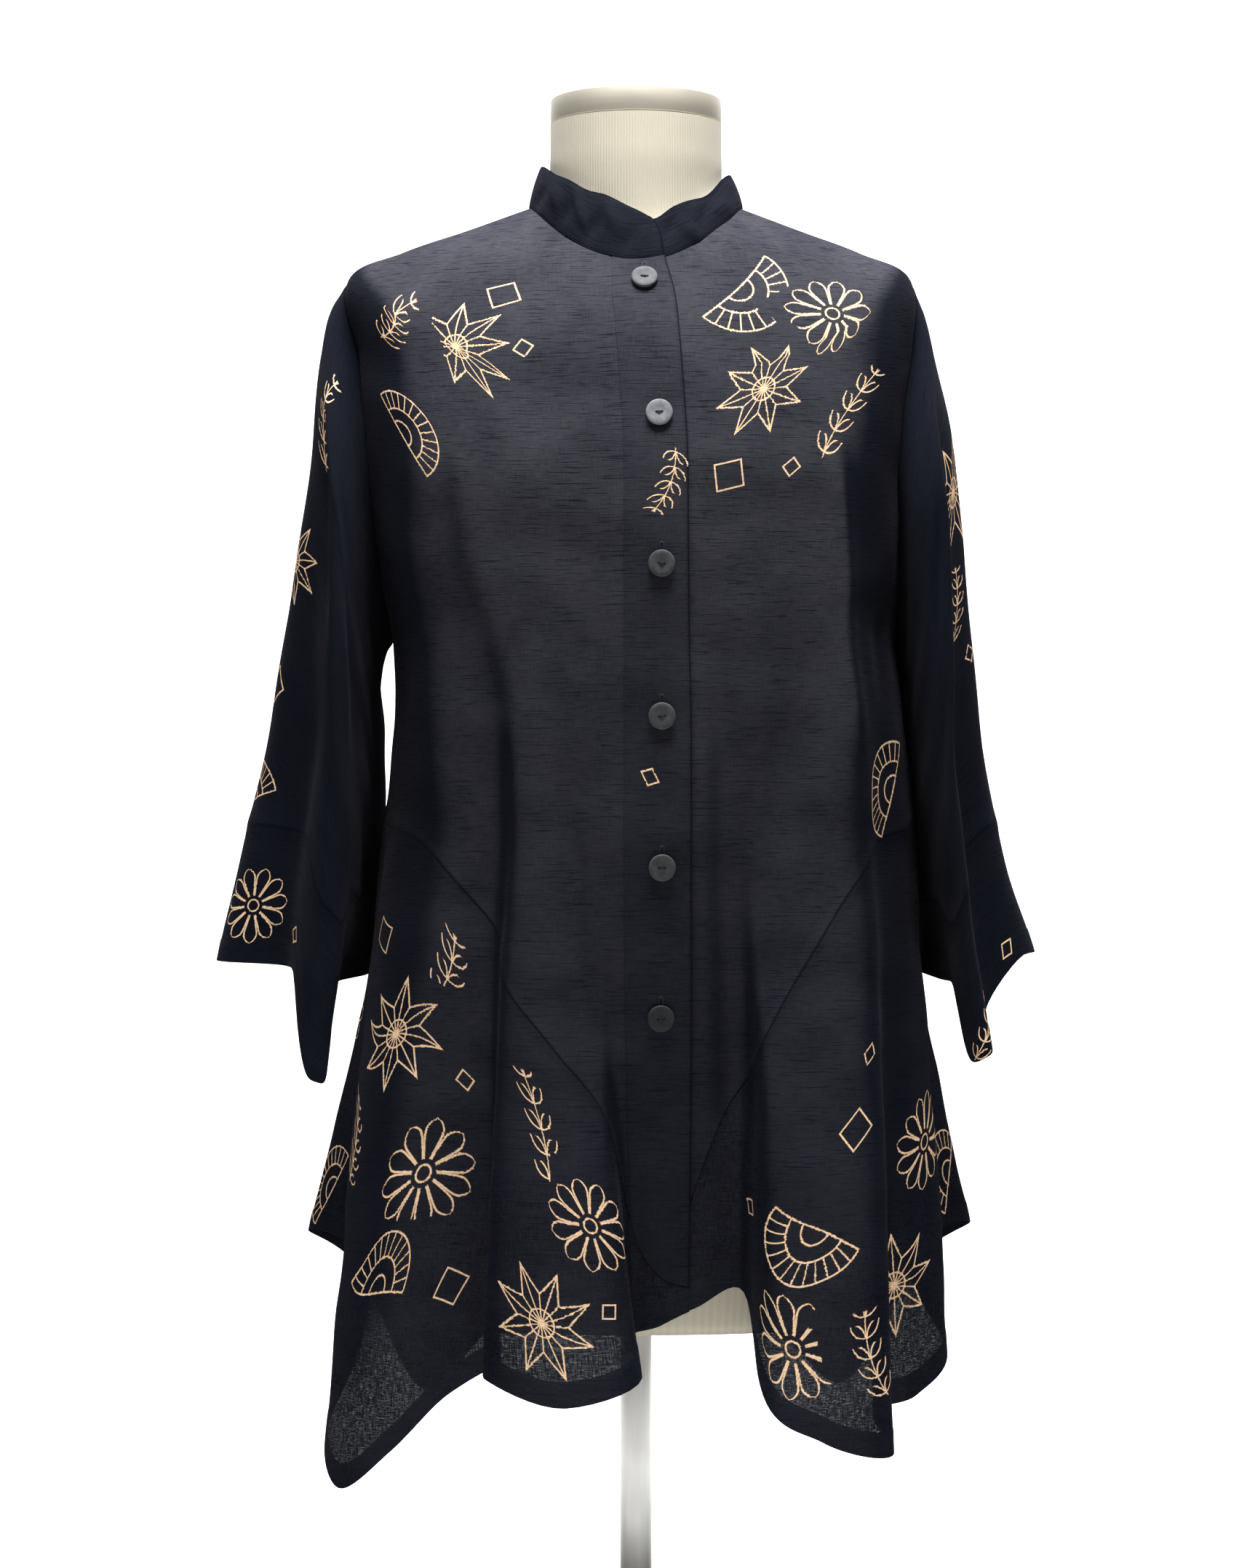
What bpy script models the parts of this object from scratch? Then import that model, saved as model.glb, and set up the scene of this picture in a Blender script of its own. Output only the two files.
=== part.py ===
"""Button-up blouse with a band collar, wide three-quarter sleeves and a handkerchief hem,
on a limbless dress form. Metres, +Z up. The blouse's front faces -Y. The origin is the
middle of the stand's underside."""

import math
from collections import namedtuple

import bmesh
import bpy
import numpy as np
from mathutils import Matrix, Vector

# Driving sizes
CLOTH = 0.0012            # wall of one layer
BAND_CLOTH = 0.0018       # wall of the doubled placket
SEAM_GAP = 0.0003         # between pieces at a seam
DIAGONAL_GAP = 0.00042    # between the upper and the lower panels
LAP_GAP = 0.0009          # between the two fronts where they lap
FORM_GAP = 0.0004         # between the cloth and the shoulders that carry it
COLLAR_HEIGHT = 0.0270     # above the neck seam at the sides
COLLAR_PEAK = 0.0095       # how much taller it stands at the centre front and back
COLLAR_TILT = 0.003       # how much lower its left side stands
COLLAR_BOW = 0.001        # how far it swells halfway up
COLLAR_OVER = 14.5        # angle of its upper lapped end
COLLAR_SLANT = 2.5        # degrees that this end leans back at the top
COLLAR_UNDER = -16.0      # angle of its lower end, a whole turn on
LAP_WIDTH = 0.0430        # how far the right front laps over the left one
UNDER_LINE = -0.0165      # x that the lap's inner line keeps to where it is narrower
BUTTON_INSET = 0.0183     # from the lapped edge to the buttons' line
BUTTON_RADIUS = 0.009
BUTTON_HEIGHT = 0.0028
BUTTON_EDGE = 0.0006
BUTTON_GAP = 0.0007
BUTTON_HEIGHTS = (0.9395, 0.8465, 0.746, 0.645, 0.545, 0.445)
LAP_EASE = 9.0            # degrees in which the right front rises onto the left one
BAND_START = 0.03         # level where the placket begins, just under the collar
CUFF_START = 0.80         # part of the way down the sleeve where the cuff is joined
SLEEVE_LENGTH = 0.5       # along its middle

# Steps for reading a surface's slope
ANGLE_STEP = 0.4
LEVEL_STEP = 0.02
TURN_STEP = 1.0
PART_STEP = 0.004

# Rows and columns of the cloth's sections
SHOULDER_LEVELS = (0.0, 1.0, 1.9, 2.6, 3.0)
ARMHOLE_ROWS = 11
WAIST_ROWS = 7
SKIRT_ROWS = 7
SLEEVE_ROWS = 9
CUFF_ROWS = 3
LAP_COLUMNS = 5
COLLAR_COLUMNS = 32
COLLAR_ROWS = 3
FORM_COLUMNS = 36
# Column places below the underarm: the fronts' from the placket's edge to the side seam, and
# half the back's from its centre
RIGHT_COLUMNS = (-6.5, -9, -12, -15, -18.5, -22, -25.5, -29, -34, -39, -44.5, -50, -55.5, -61, -66,
                 -71, -76, -81, -85.5, -90)
LEFT_COLUMNS = (13.5, 17, 19.5, 22, 28, 34, 40, 46, 50, 54, 59, 64, 69, 74, 78.5, 83, 86.5, 90)
BACK_COLUMNS = (0, 7.5, 15, 22.5, 30, 36.5, 43, 49.5, 56, 62.5, 69, 79, 90)

# The blouse's rings, from the neck seam (level 0) over the shoulder tip (level 3) and the
# underarm (level 8) to below the hem. Each is a rounded section whose front, side and back
# have their own heights above the underarm.
Ring = namedtuple("Ring", "half_width centre_x side_z front_y front_z back_y back_z square")
BLOUSE = (
    Ring(0.075, 0.000, 1.002, -0.080, 0.9545, 0.070, 1.008, 0.00),
    Ring(0.117, -0.001, 0.9865, -0.097, 0.927, 0.088, 0.983, 0.02),
    Ring(0.160, -0.003, 0.9715, -0.110, 0.898, 0.102, 0.953, 0.03),
    Ring(0.197, -0.004, 0.952, -0.119, 0.868, 0.110, 0.918, 0.03),
    Ring(0.194, -0.001, 0.895, -0.126, 0.834, 0.116, 0.878, 0.05),
    Ring(0.190, -0.002, 0.845, -0.131, 0.801, 0.120, 0.836, 0.06),
    Ring(0.187, -0.001, 0.795, -0.133, 0.768, 0.122, 0.792, 0.06),
    Ring(0.182, 0.002, 0.745, -0.134, 0.734, 0.123, 0.746, 0.06),
    Ring(0.175, 0.005, 0.700, -0.135, 0.700, 0.124, 0.700, 0.06),
    Ring(0.178, 0.009, 0.640, -0.136, 0.640, 0.126, 0.640, 0.06),
    Ring(0.186, 0.009, 0.560, -0.138, 0.560, 0.129, 0.560, 0.05),
    Ring(0.195, 0.006, 0.470, -0.140, 0.470, 0.133, 0.470, 0.05),
    Ring(0.204, 0.004, 0.370, -0.142, 0.370, 0.137, 0.370, 0.05),
    Ring(0.211, 0.002, 0.270, -0.144, 0.270, 0.141, 0.270, 0.05),
    Ring(0.217, 0.000, 0.170, -0.146, 0.170, 0.145, 0.170, 0.05),
    Ring(0.222, 0.000, 0.100, -0.148, 0.100, 0.148, 0.100, 0.05),
)
TIP_LEVEL = 3.0
UNDERARM_LEVEL = 8.0
SHIFT_FROM = 0.87         # how far aside a ring's own shift is whole; the centre lines keep still

# The hem's fold lines, round from the wearer's right side seam over the front to the left one
# and back again. The angle is where the line leaves the plain section above, x, y and z are its
# end at the hem, and start is the height where it begins to leave.
Fold = namedtuple("Fold", "name angle x y z start")
FOLDS = (
    Fold("right_side_seam", -90, -0.187, 0.015, 0.262, 0.56),
    Fold("right_side_tuck", -81, -0.190, -0.020, 0.215, 0.56),
    Fold("right_side_edge", -71, -0.2115, -0.055, 0.155, 0.60),
    Fold("right_point", -61, -0.201, -0.088, 0.124, 0.60),
    Fold("right_gore", -50, -0.165, -0.106, 0.152, 0.62),
    Fold("right_gore_inner", -39, -0.128, -0.106, 0.189, 0.66),
    Fold("roll_tuck", -29, -0.091, -0.114, 0.212, 0.80),
    Fold("roll_edge", -22, -0.1005, -0.145, 0.207, 0.80),
    Fold("roll_crest", -15, -0.047, -0.167, 0.1916, 0.68),
    Fold("roll_inner_edge", -9, 0.002, -0.147, 0.206, 0.58),
    Fold("lap_valley", -4.5, -0.006, -0.119, 0.226, 0.56),
    Fold("button_line", 4.4, 0.0155, -0.112, 0.238, 0.62),
    Fold("lap_edge", 10, 0.039, -0.111, 0.249, 0.62),
    Fold("left_valley", 17, 0.073, -0.108, 0.258, 0.64),
    Fold("left_flute_edge", 22, 0.080, -0.140, 0.207, 0.62),
    Fold("left_flute", 34, 0.122, -0.160, 0.168, 0.64),
    Fold("left_point", 46, 0.170, -0.134, 0.156, 0.80),
    Fold("left_tuck", 54, 0.158, -0.100, 0.176, 0.70),
    Fold("left_gore", 64, 0.190, -0.080, 0.185, 0.60),
    Fold("left_side_edge", 74, 0.2145, -0.044, 0.208, 0.60),
    Fold("left_side_tuck", 83, 0.196, -0.005, 0.245, 0.56),
    Fold("left_side_seam", 90, 0.191, 0.022, 0.266, 0.56),
    Fold("left_back_gore", 101, 0.221, 0.064, 0.282, 0.58),
    Fold("left_back_edge", 111, 0.243, 0.100, 0.280, 0.60),
    Fold("left_back_side", 124, 0.208, 0.152, 0.244, 0.62),
    Fold("left_back_point", 137, 0.158, 0.158, 0.155, 0.66),
    Fold("left_back_tuck", 150, 0.112, 0.122, 0.190, 0.64),
    Fold("left_back_flute", 165, 0.060, 0.160, 0.222, 0.66),
    Fold("centre_back", 180, 0.004, 0.124, 0.246, 0.62),
    Fold("right_back_flute", 195, -0.056, 0.156, 0.228, 0.66),
    Fold("right_back_tuck", 210, -0.110, 0.124, 0.196, 0.62),
    Fold("right_back_point", 223, -0.160, 0.156, 0.150, 0.66),
    Fold("right_back_side", 236, -0.206, 0.150, 0.240, 0.62),
    Fold("right_back_edge", 249, -0.238, 0.100, 0.274, 0.60),
    Fold("right_back_gore", 259, -0.216, 0.060, 0.276, 0.58),
)
FOLD_RUSH = 1.6           # how soon a fold opens below its start

# Height of the diagonal seam, by the part of the way from the front's own edge to the side
Seam = namedtuple("Seam", "part height")
SEAM = (
    Seam(0.00, 0.264), Seam(0.05, 0.272), Seam(0.10, 0.300), Seam(0.17, 0.375),
    Seam(0.24, 0.421), Seam(0.31, 0.463), Seam(0.42, 0.515), Seam(0.53, 0.550),
    Seam(0.75, 0.571), Seam(1.00, 0.578),
)

# Where the lapped front edge runs, seen from the front
Edge = namedtuple("Edge", "level x")
LAPPED_EDGE = (
    Edge(0, 0.0195), Edge(1, 0.0268), Edge(2, 0.0298), Edge(3, 0.0320), Edge(4, 0.0342),
    Edge(5, 0.0350), Edge(6, 0.0350), Edge(15, 0.0350),
)
# The collar's top, a plain ring round the neck
Rim = namedtuple("Rim", "half_width front back")
COLLAR_TOP = Rim(0.0665, 0.0690, 0.0660)

ARMHOLE_ANGLE = 22.0      # how far the armhole cuts into the front and the back
ARMHOLE_ROUND = 0.65
QUARTER_ROUND = 0.30      # cloth from a front's edge round to its side seam

# A sleeve hangs empty, thin from side to side and wide from front to back. Each row is a
# slanted ring from its outer top point to its inner low one.
Hoop = namedtuple("Hoop", "part outer_x outer_z inner_x inner_z front_y back_y droop")
SLEEVE_RIGHT = (
    Hoop(0.00, 0.2010, 0.952, 0.1700, 0.700, -0.064, 0.064, 0.000),
    Hoop(0.06, 0.2125, 0.932, 0.1740, 0.692, -0.073, 0.070, 0.000),
    Hoop(0.13, 0.2195, 0.903, 0.1775, 0.682, -0.081, 0.077, 0.000),
    Hoop(0.30, 0.2245, 0.834, 0.1800, 0.652, -0.088, 0.087, 0.002),
    Hoop(0.50, 0.2385, 0.738, 0.1805, 0.607, -0.093, 0.092, 0.008),
    Hoop(0.70, 0.2560, 0.630, 0.1850, 0.554, -0.098, 0.098, 0.022),
    Hoop(0.85, 0.2745, 0.548, 0.1910, 0.505, -0.102, 0.102, 0.042),
    Hoop(1.00, 0.2900, 0.478, 0.2050, 0.462, -0.106, 0.106, 0.070),
)
SLEEVE_LEFT = (
    Hoop(0.00, 0.1930, 0.952, 0.1800, 0.700, -0.064, 0.064, 0.000),
    Hoop(0.06, 0.2010, 0.930, 0.1820, 0.692, -0.073, 0.070, 0.000),
    Hoop(0.13, 0.2080, 0.902, 0.1835, 0.682, -0.081, 0.077, 0.000),
    Hoop(0.30, 0.2200, 0.834, 0.1870, 0.652, -0.088, 0.087, 0.002),
    Hoop(0.50, 0.2285, 0.738, 0.1905, 0.607, -0.093, 0.092, 0.008),
    Hoop(0.70, 0.2400, 0.630, 0.1970, 0.554, -0.098, 0.098, 0.018),
    Hoop(0.85, 0.2555, 0.548, 0.2040, 0.505, -0.102, 0.102, 0.034),
    Hoop(1.00, 0.2760, 0.484, 0.2090, 0.464, -0.106, 0.106, 0.058),
)
SLEEVE_SQUARE = 0.05
DROOP_RIGHT = 0.88        # how near its front each sleeve's end starts to droop
DROOP_LEFT = 0.50
CREASE_PACE = 1.2         # how late a sleeve's fold deepens
HEAD_PACE = 1.3           # sets the sleeve's rings closer near the shoulder
JOIN_EASE = 0.35          # part of the sleeve in which the armhole's shape fades out

# Folds along a sleeve: angle round it from its outer line over the front, how far the cloth
# moves outwards from the body (aside) and forwards (ahead) at the end, and the part of the way
# down where it starts
Crease = namedtuple("Crease", "name angle aside ahead start")
CREASES_RIGHT = (
    Crease("outer_line", 0, 0.000, 0.002, 0.10),
    Crease("outer_front", 24, -0.003, -0.008, 0.10),
    Crease("front_valley", 47, -0.038, -0.022, 0.12),
    Crease("front_edge", 68, -0.040, 0.002, 0.12),
    Crease("front_crest", 92, -0.032, 0.002, 0.15),
    Crease("inner_front", 122, -0.016, -0.004, 0.30),
    Crease("inner_line", 175, 0.004, 0.000, 0.30),
    Crease("inner_back", 232, -0.021, 0.006, 0.20),
    Crease("back_crest", 278, 0.000, -0.004, 0.15),
    Crease("back_valley", 320, -0.014, 0.010, 0.15),
)
CREASES_LEFT = (
    Crease("outer_line", 0, 0.000, 0.000, 0.10),
    Crease("outer_front", 22, -0.002, -0.006, 0.10),
    Crease("front_valley", 46, -0.030, -0.016, 0.14),
    Crease("front_edge", 68, -0.018, 0.002, 0.14),
    Crease("front_crest", 92, -0.008, 0.002, 0.20),
    Crease("inner_front", 130, 0.004, -0.006, 0.30),
    Crease("inner_line", 180, 0.002, 0.000, 0.35),
    Crease("inner_back", 228, -0.010, 0.004, 0.20),
    Crease("back_crest", 275, -0.004, -0.003, 0.15),
    Crease("back_valley", 316, -0.016, 0.008, 0.15),
)

# The dress form: its shoulders follow the blouse's first rings, the rest has its own sizes
Stage = namedtuple("Stage", "half_width front back height square")
FORM_NECK = (
    Stage(0.0600, 0.0600, 0.0600, 1.0610, 0.0),
    Stage(0.0602, 0.0602, 0.0602, 1.0350, 0.0),
)
Foot = namedtuple("Foot", "half_width front back front_z side_z back_z")
NECK_FOOT = Foot(0.0615, 0.0610, 0.0600, 0.985, 1.014, 1.016)
CARRY_DROP = (CLOTH + FORM_GAP) / math.cos(math.radians(25.0))
Carried = namedtuple("Carried", "level narrower inset side_drop end_drop")
FORM_SHOULDERS = (
    Carried(0, 0.000, 0.003, CARRY_DROP, CARRY_DROP),
    Carried(1, 0.001, 0.004, CARRY_DROP, CARRY_DROP),
    Carried(2, 0.003, 0.006, CARRY_DROP, CARRY_DROP),
    Carried(3, 0.015, 0.009, -0.0030, 0.006),
    Carried(4, 0.019, 0.011, -0.0050, 0.012),
    Carried(5, 0.027, 0.013, 0.0040, 0.012),
)
FORM_TRUNK = (
    Stage(0.158, 0.119, 0.104, 0.760, 0.05),
    Stage(0.146, 0.112, 0.100, 0.700, 0.04),
    Stage(0.132, 0.094, 0.090, 0.630, 0.03),
    Stage(0.138, 0.092, 0.094, 0.570, 0.03),
    Stage(0.156, 0.099, 0.108, 0.490, 0.03),
    Stage(0.166, 0.102, 0.115, 0.410, 0.03),
    Stage(0.162, 0.100, 0.112, 0.320, 0.03),
    Stage(0.156, 0.097, 0.108, 0.245, 0.03),
    Stage(0.152, 0.094, 0.105, 0.228, 0.03),
)
CAP_RADIUS = 0.0598
CAP_HEIGHT = 0.017
CAP_EDGE = 0.0015
POLE_RADIUS = 0.011
POLE_EDGE = 0.0005
BASE_RADIUS = 0.140
BASE_HEIGHT = 0.012
BASE_EDGE = 0.002

Finish = namedtuple("Finish", "colour roughness metallic")
FINISHES = {
    "blouse_cloth": Finish((0.016, 0.017, 0.026), 0.72, 0.0),
    "button_plastic": Finish((0.13, 0.15, 0.17), 0.45, 0.0),
    "form_cloth": Finish((0.83, 0.79, 0.69), 0.85, 0.0),
    "cap_steel": Finish((0.55, 0.52, 0.46), 0.32, 1.0),
    "stand_steel": Finish((0.42, 0.41, 0.39), 0.38, 1.0),
}


def cubic(knots, values, at, period=0.0):
    """Smooth curve through the values at the knots, read at the places asked for."""
    knots = np.asarray(knots, float)
    values = np.asarray(values, float)
    at = np.asarray(at, float)
    if period:
        at = (at - knots[0]) % period + knots[0]
        knots = np.concatenate([knots[-2:] - period, knots, knots[:2] + period])
        values = np.concatenate([values[-2:], values, values[:2]])
    slopes = np.gradient(values, knots)
    low = np.clip(np.searchsorted(knots, at, side="right") - 1, 0, len(knots) - 2)
    width = knots[low + 1] - knots[low]
    part = np.clip((at - knots[low]) / width, 0.0, 1.0)
    rest = 1.0 - part
    return (values[low] * rest**2 * (1 + 2 * part)
            + slopes[low] * width * part * rest**2
            + values[low + 1] * part**2 * (1 + 2 * rest)
            - slopes[low + 1] * width * part**2 * rest)


def column(rows, name):
    return np.array([getattr(row, name) for row in rows], float)


def ease(part):
    """0 to 1 with a soft start and end."""
    part = np.clip(part, 0.0, 1.0)
    return part * part * (3.0 - 2.0 * part)


def rounded(angle, square):
    """Sideways and forward parts of a unit section; square fills out its corners."""
    side = (np.sin(angle) + square * np.sin(3 * angle)) / (1 - square)
    front = (np.cos(angle) - square * np.cos(3 * angle)) / (1 - square)
    return side, front


def blouse_row(level, name):
    return cubic(np.arange(len(BLOUSE)), column(BLOUSE, name), level)


def plain_body(angle, level):
    """Point of the blouse without its folds. Angles are degrees from the centre front."""
    turn = np.radians(angle)
    side, front = rounded(turn, blouse_row(level, "square"))
    ahead = front > 0
    aside = blouse_row(level, "centre_x") * ease(np.abs(side) / SHIFT_FROM)
    x = aside + blouse_row(level, "half_width") * side
    y = np.where(ahead, blouse_row(level, "front_y") * front, -blouse_row(level, "back_y") * front)
    side_z = blouse_row(level, "side_z")
    end_z = np.where(ahead, blouse_row(level, "front_z"), blouse_row(level, "back_z"))
    return np.stack([x, y, side_z + (end_z - side_z) * np.cos(turn) ** 2], axis=-1)


LEVELS_FINE = np.linspace(UNDERARM_LEVEL, len(BLOUSE) - 1, 400)
HEIGHTS_FINE = blouse_row(LEVELS_FINE, "side_z")
FOLD_ANGLES = column(FOLDS, "angle")


def level_at(height):
    """Level of a height below the underarm, where each ring is flat."""
    return np.interp(-np.asarray(height), -HEIGHTS_FINE, LEVELS_FINE)


def fold_row(angle, name):
    return cubic(FOLD_ANGLES, column(FOLDS, name), angle, 360.0)


def hem_shift(axis):
    """How far each fold line's end at the hem lies from the plain section."""
    ends = np.stack([column(FOLDS, "x"), column(FOLDS, "y")], axis=-1)
    plain = plain_body(FOLD_ANGLES, level_at(column(FOLDS, "z")))
    return ends[:, axis] - plain[:, axis]


SHIFT_X = hem_shift(0)
SHIFT_Y = hem_shift(1)


def body(angle, level):
    """Outer point of the blouse: the plain rings, and the folds that grow towards the hem."""
    point = plain_body(angle, level)
    start = fold_row(angle, "start")
    growth = np.maximum((start - point[..., 2]) / (start - fold_row(angle, "z")), 0.0)
    growth = growth**2 * (FOLD_RUSH - (FOLD_RUSH - 1) * growth)
    point[..., 0] += growth * cubic(FOLD_ANGLES, SHIFT_X, angle, 360.0)
    point[..., 1] += growth * cubic(FOLD_ANGLES, SHIFT_Y, angle, 360.0)
    return point


def normals(surface, across, down, step_across, step_down):
    """Unit normals of a surface given as a function of two coordinates."""
    along = surface(across + step_across, down) - surface(across - step_across, down)
    drop = surface(across, down + step_down) - surface(across, down - step_down)
    cross = np.cross(along, -drop)
    return cross / np.linalg.norm(cross, axis=-1, keepdims=True)


def body_normal(angle, level):
    return normals(body, angle, level, ANGLE_STEP, LEVEL_STEP)


def front_angle(x, level):
    """Angle near the centre front whose plain section has this x."""
    square = blouse_row(level, "square")
    slope = (1 + 3 * square) / (1 - square)
    return np.degrees(x / (blouse_row(level, "half_width") * slope))


def lapped_edge(level):
    level = np.minimum(level, UNDERARM_LEVEL)
    x = cubic(column(LAPPED_EDGE, "level"), column(LAPPED_EDGE, "x"), level)
    return front_angle(x, level)


def under_edge(level):
    level = np.minimum(level, UNDERARM_LEVEL)
    x = cubic(column(LAPPED_EDGE, "level"), column(LAPPED_EDGE, "x"), level)
    return front_angle(np.maximum(x - LAP_WIDTH, UNDER_LINE), level)


def side_cut(level):
    """Degrees that the armhole takes off a front or back at this level."""
    part = np.clip((level - TIP_LEVEL) / (UNDERARM_LEVEL - TIP_LEVEL), 0.0, 1.0)
    return ARMHOLE_ANGLE * np.sin(math.pi * part) ** ARMHOLE_ROUND


def seam_height(part):
    return cubic(column(SEAM, "part"), column(SEAM, "height"), part)


def seam_level(part, side):
    """Level of a panel's edge at the diagonal seam: side is 1 above the seam and -1 below it."""
    slope = (seam_height(part + 0.01) - seam_height(part - 0.01)) / (0.02 * QUARTER_ROUND)
    return level_at(seam_height(part) + side * DIAGONAL_GAP / 2 * np.sqrt(1 + slope**2))


def hem_level(angle):
    return level_at(fold_row(angle, "z"))


def lift(angle, level):
    """1 where the right front lies on the left one, falling to 0 beside the placket."""
    return ease((angle - under_edge(level)) / LAP_EASE + 1.0)


def gap_angle(level, gap):
    """A gap's width as an angle round the body."""
    return np.degrees(gap / blouse_row(level, "half_width"))


def upper_levels(last):
    """Rows of levels, one column for each value of last, from the neck seam to that level."""
    armhole = np.linspace(TIP_LEVEL, UNDERARM_LEVEL, ARMHOLE_ROWS + 1)[1:]
    waist = [UNDERARM_LEVEL + (last - UNDERARM_LEVEL) * (i + 1) / WAIST_ROWS
             for i in range(WAIST_ROWS)]
    fixed = np.concatenate([SHOULDER_LEVELS, armhole])
    return np.vstack([np.repeat(fixed[:, None], len(last), axis=1), waist])


def lower_levels(first, last):
    return np.array([first + (last - first) * i / SKIRT_ROWS for i in range(SKIRT_ROWS + 1)])


def shell_mesh(name, outer, inner, closed):
    """Wall between two grids of points. A closed one wraps round its columns."""
    rows, columns = outer.shape[:2]
    mesh = bmesh.new()
    skins = [[[mesh.verts.new(point) for point in row] for row in skin] for skin in (outer, inner)]
    spans = columns if closed else columns - 1

    def strip(a, b, c, d):
        mesh.faces.new((a, b, c))
        mesh.faces.new((a, c, d))

    for skin in skins:
        for i in range(rows - 1):
            for j in range(spans):
                k = (j + 1) % columns
                strip(skin[i][j], skin[i][k], skin[i + 1][k], skin[i + 1][j])
    out, back = skins
    for i in (0, rows - 1):
        for j in range(spans):
            k = (j + 1) % columns
            strip(out[i][j], out[i][k], back[i][k], back[i][j])
    if not closed:
        for j in (0, columns - 1):
            for i in range(rows - 1):
                strip(out[i][j], out[i + 1][j], back[i + 1][j], back[i][j])
    bmesh.ops.recalc_face_normals(mesh, faces=mesh.faces)
    data = bpy.data.meshes.new(name)
    mesh.to_mesh(data)
    mesh.free()
    return data


def add(name, data, finish):
    """Puts a mesh in the blouse's collection as a named piece with its own material."""
    look = FINISHES[finish]
    material = bpy.data.materials.new(name)
    material.use_nodes = True
    shader = material.node_tree.nodes["Principled BSDF"]
    shader.inputs["Base Color"].default_value = (*look.colour, 1.0)
    shader.inputs["Roughness"].default_value = look.roughness
    shader.inputs["Metallic"].default_value = look.metallic
    data.materials.append(material)
    data.shade_smooth()
    data.set_sharp_from_angle(angle=math.radians(40))
    piece = bpy.data.objects.new(name, data)
    bpy.data.collections["button_up_blouse"].objects.link(piece)
    return piece


def body_panel(name, angle, level, raised=0.0, cloth=CLOTH):
    """Panel of the blouse's body on a grid of angles and levels, raised off it by so much."""
    away = body_normal(angle, level)
    outer = body(angle, level) + away * np.asarray(raised)[..., None]
    return add(name, shell_mesh(name, outer, outer - away * cloth, False), "blouse_cloth")


def spread(parts, start, end):
    """Angles between a start and an end for each row, in fixed parts of the way."""
    return start + (end - start) * parts


FRONT_START = float(under_edge(np.array(UNDERARM_LEVEL)))
FRONT_END = float(lapped_edge(np.array(UNDERARM_LEVEL)))


def parts_of(angles, start):
    """Columns as parts of the way from a start to the last of the angles."""
    return np.array([0.0] + [(a - start) / (angles[-1] - start) for a in angles])


def right_front():
    """The lapping side: upper panel, doubled placket and lower panel with its front corner."""
    parts = parts_of(RIGHT_COLUMNS, FRONT_START)
    way = (FRONT_END - spread(parts, FRONT_START, -90.0)) / (FRONT_END + 90.0)
    level = upper_levels(seam_level(way, 1))
    start = under_edge(level) - gap_angle(level, SEAM_GAP)
    side = -90.0 + side_cut(level) + gap_angle(level, SEAM_GAP / 2)
    angle = spread(parts, start, side)
    top = CLOTH + LAP_GAP
    body_panel("front_right_upper", angle, level, top * lift(angle, level))

    lap = np.linspace(0.0, 1.0, LAP_COLUMNS + 1)
    lap_way = (FRONT_END - spread(lap, FRONT_START, FRONT_END)) / (FRONT_END + 90.0)
    level = upper_levels(seam_level(lap_way, 1))
    level[0] += BAND_START
    angle = spread(lap, under_edge(level), lapped_edge(level))
    body_panel("placket", angle, level, top + BAND_CLOTH - CLOTH, BAND_CLOTH)

    lap_angle = spread(lap[::-1], FRONT_START, FRONT_END)
    angle = np.concatenate([lap_angle, spread(parts[1:], FRONT_START, -90.0)])
    way = (FRONT_END - angle) / (FRONT_END + 90.0)
    level = lower_levels(seam_level(way, -1), hem_level(angle))
    angle = np.repeat(angle[None, :], len(level), axis=0)
    angle[:, -1] += gap_angle(level[:, -1], SEAM_GAP / 2)
    body_panel("lower_front_right", angle, level, top * lift(angle, level))


def left_front():
    """The side beneath: upper and lower panel, both running on under the placket."""
    lap = np.linspace(0.0, 1.0, LAP_COLUMNS + 1)[1:]
    parts = parts_of(LEFT_COLUMNS, FRONT_END)[1:]
    plain = np.concatenate([spread(lap, FRONT_START, FRONT_END), spread(parts, FRONT_END, 90.0)])
    way = (plain - FRONT_START) / (90.0 - FRONT_START)
    level = upper_levels(seam_level(way, 1))
    side = 90.0 - side_cut(level) - gap_angle(level, SEAM_GAP / 2)
    split = len(lap)
    angle = np.empty_like(level)
    angle[:, :split] = spread(lap, under_edge(level[:, :split]), lapped_edge(level[:, :split]))
    angle[:, split:] = spread(parts, lapped_edge(level[:, split:]), side[:, split:])
    body_panel("front_left_upper", angle, level)

    level = lower_levels(seam_level(way, -1), hem_level(plain))
    angle = np.repeat(plain[None, :], len(level), axis=0)
    angle[:, -1] -= gap_angle(level[:, -1], SEAM_GAP / 2)
    body_panel("lower_front_left", angle, level)


def back():
    """Two upper and two lower back panels that meet at the centre."""
    half = np.array(BACK_COLUMNS) / 90.0
    for side, sign in (("right", 1.0), ("left", -1.0)):
        level = upper_levels(seam_level(half, 1))
        reach = 90.0 - side_cut(level) - gap_angle(level, SEAM_GAP / 2)
        start = gap_angle(level, SEAM_GAP / 2)
        body_panel(f"back_upper_{side}", 180.0 + sign * spread(half, start, reach), level)

        plain = 180.0 + sign * half * 90.0
        level = lower_levels(seam_level(half, -1), hem_level(plain))
        angle = np.repeat(plain[None, :], len(level), axis=0)
        angle[:, 0] += sign * gap_angle(level[:, 0], SEAM_GAP / 2)
        angle[:, -1] -= sign * gap_angle(level[:, -1], SEAM_GAP / 2)
        body_panel(f"lower_back_{side}", angle, level)


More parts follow.
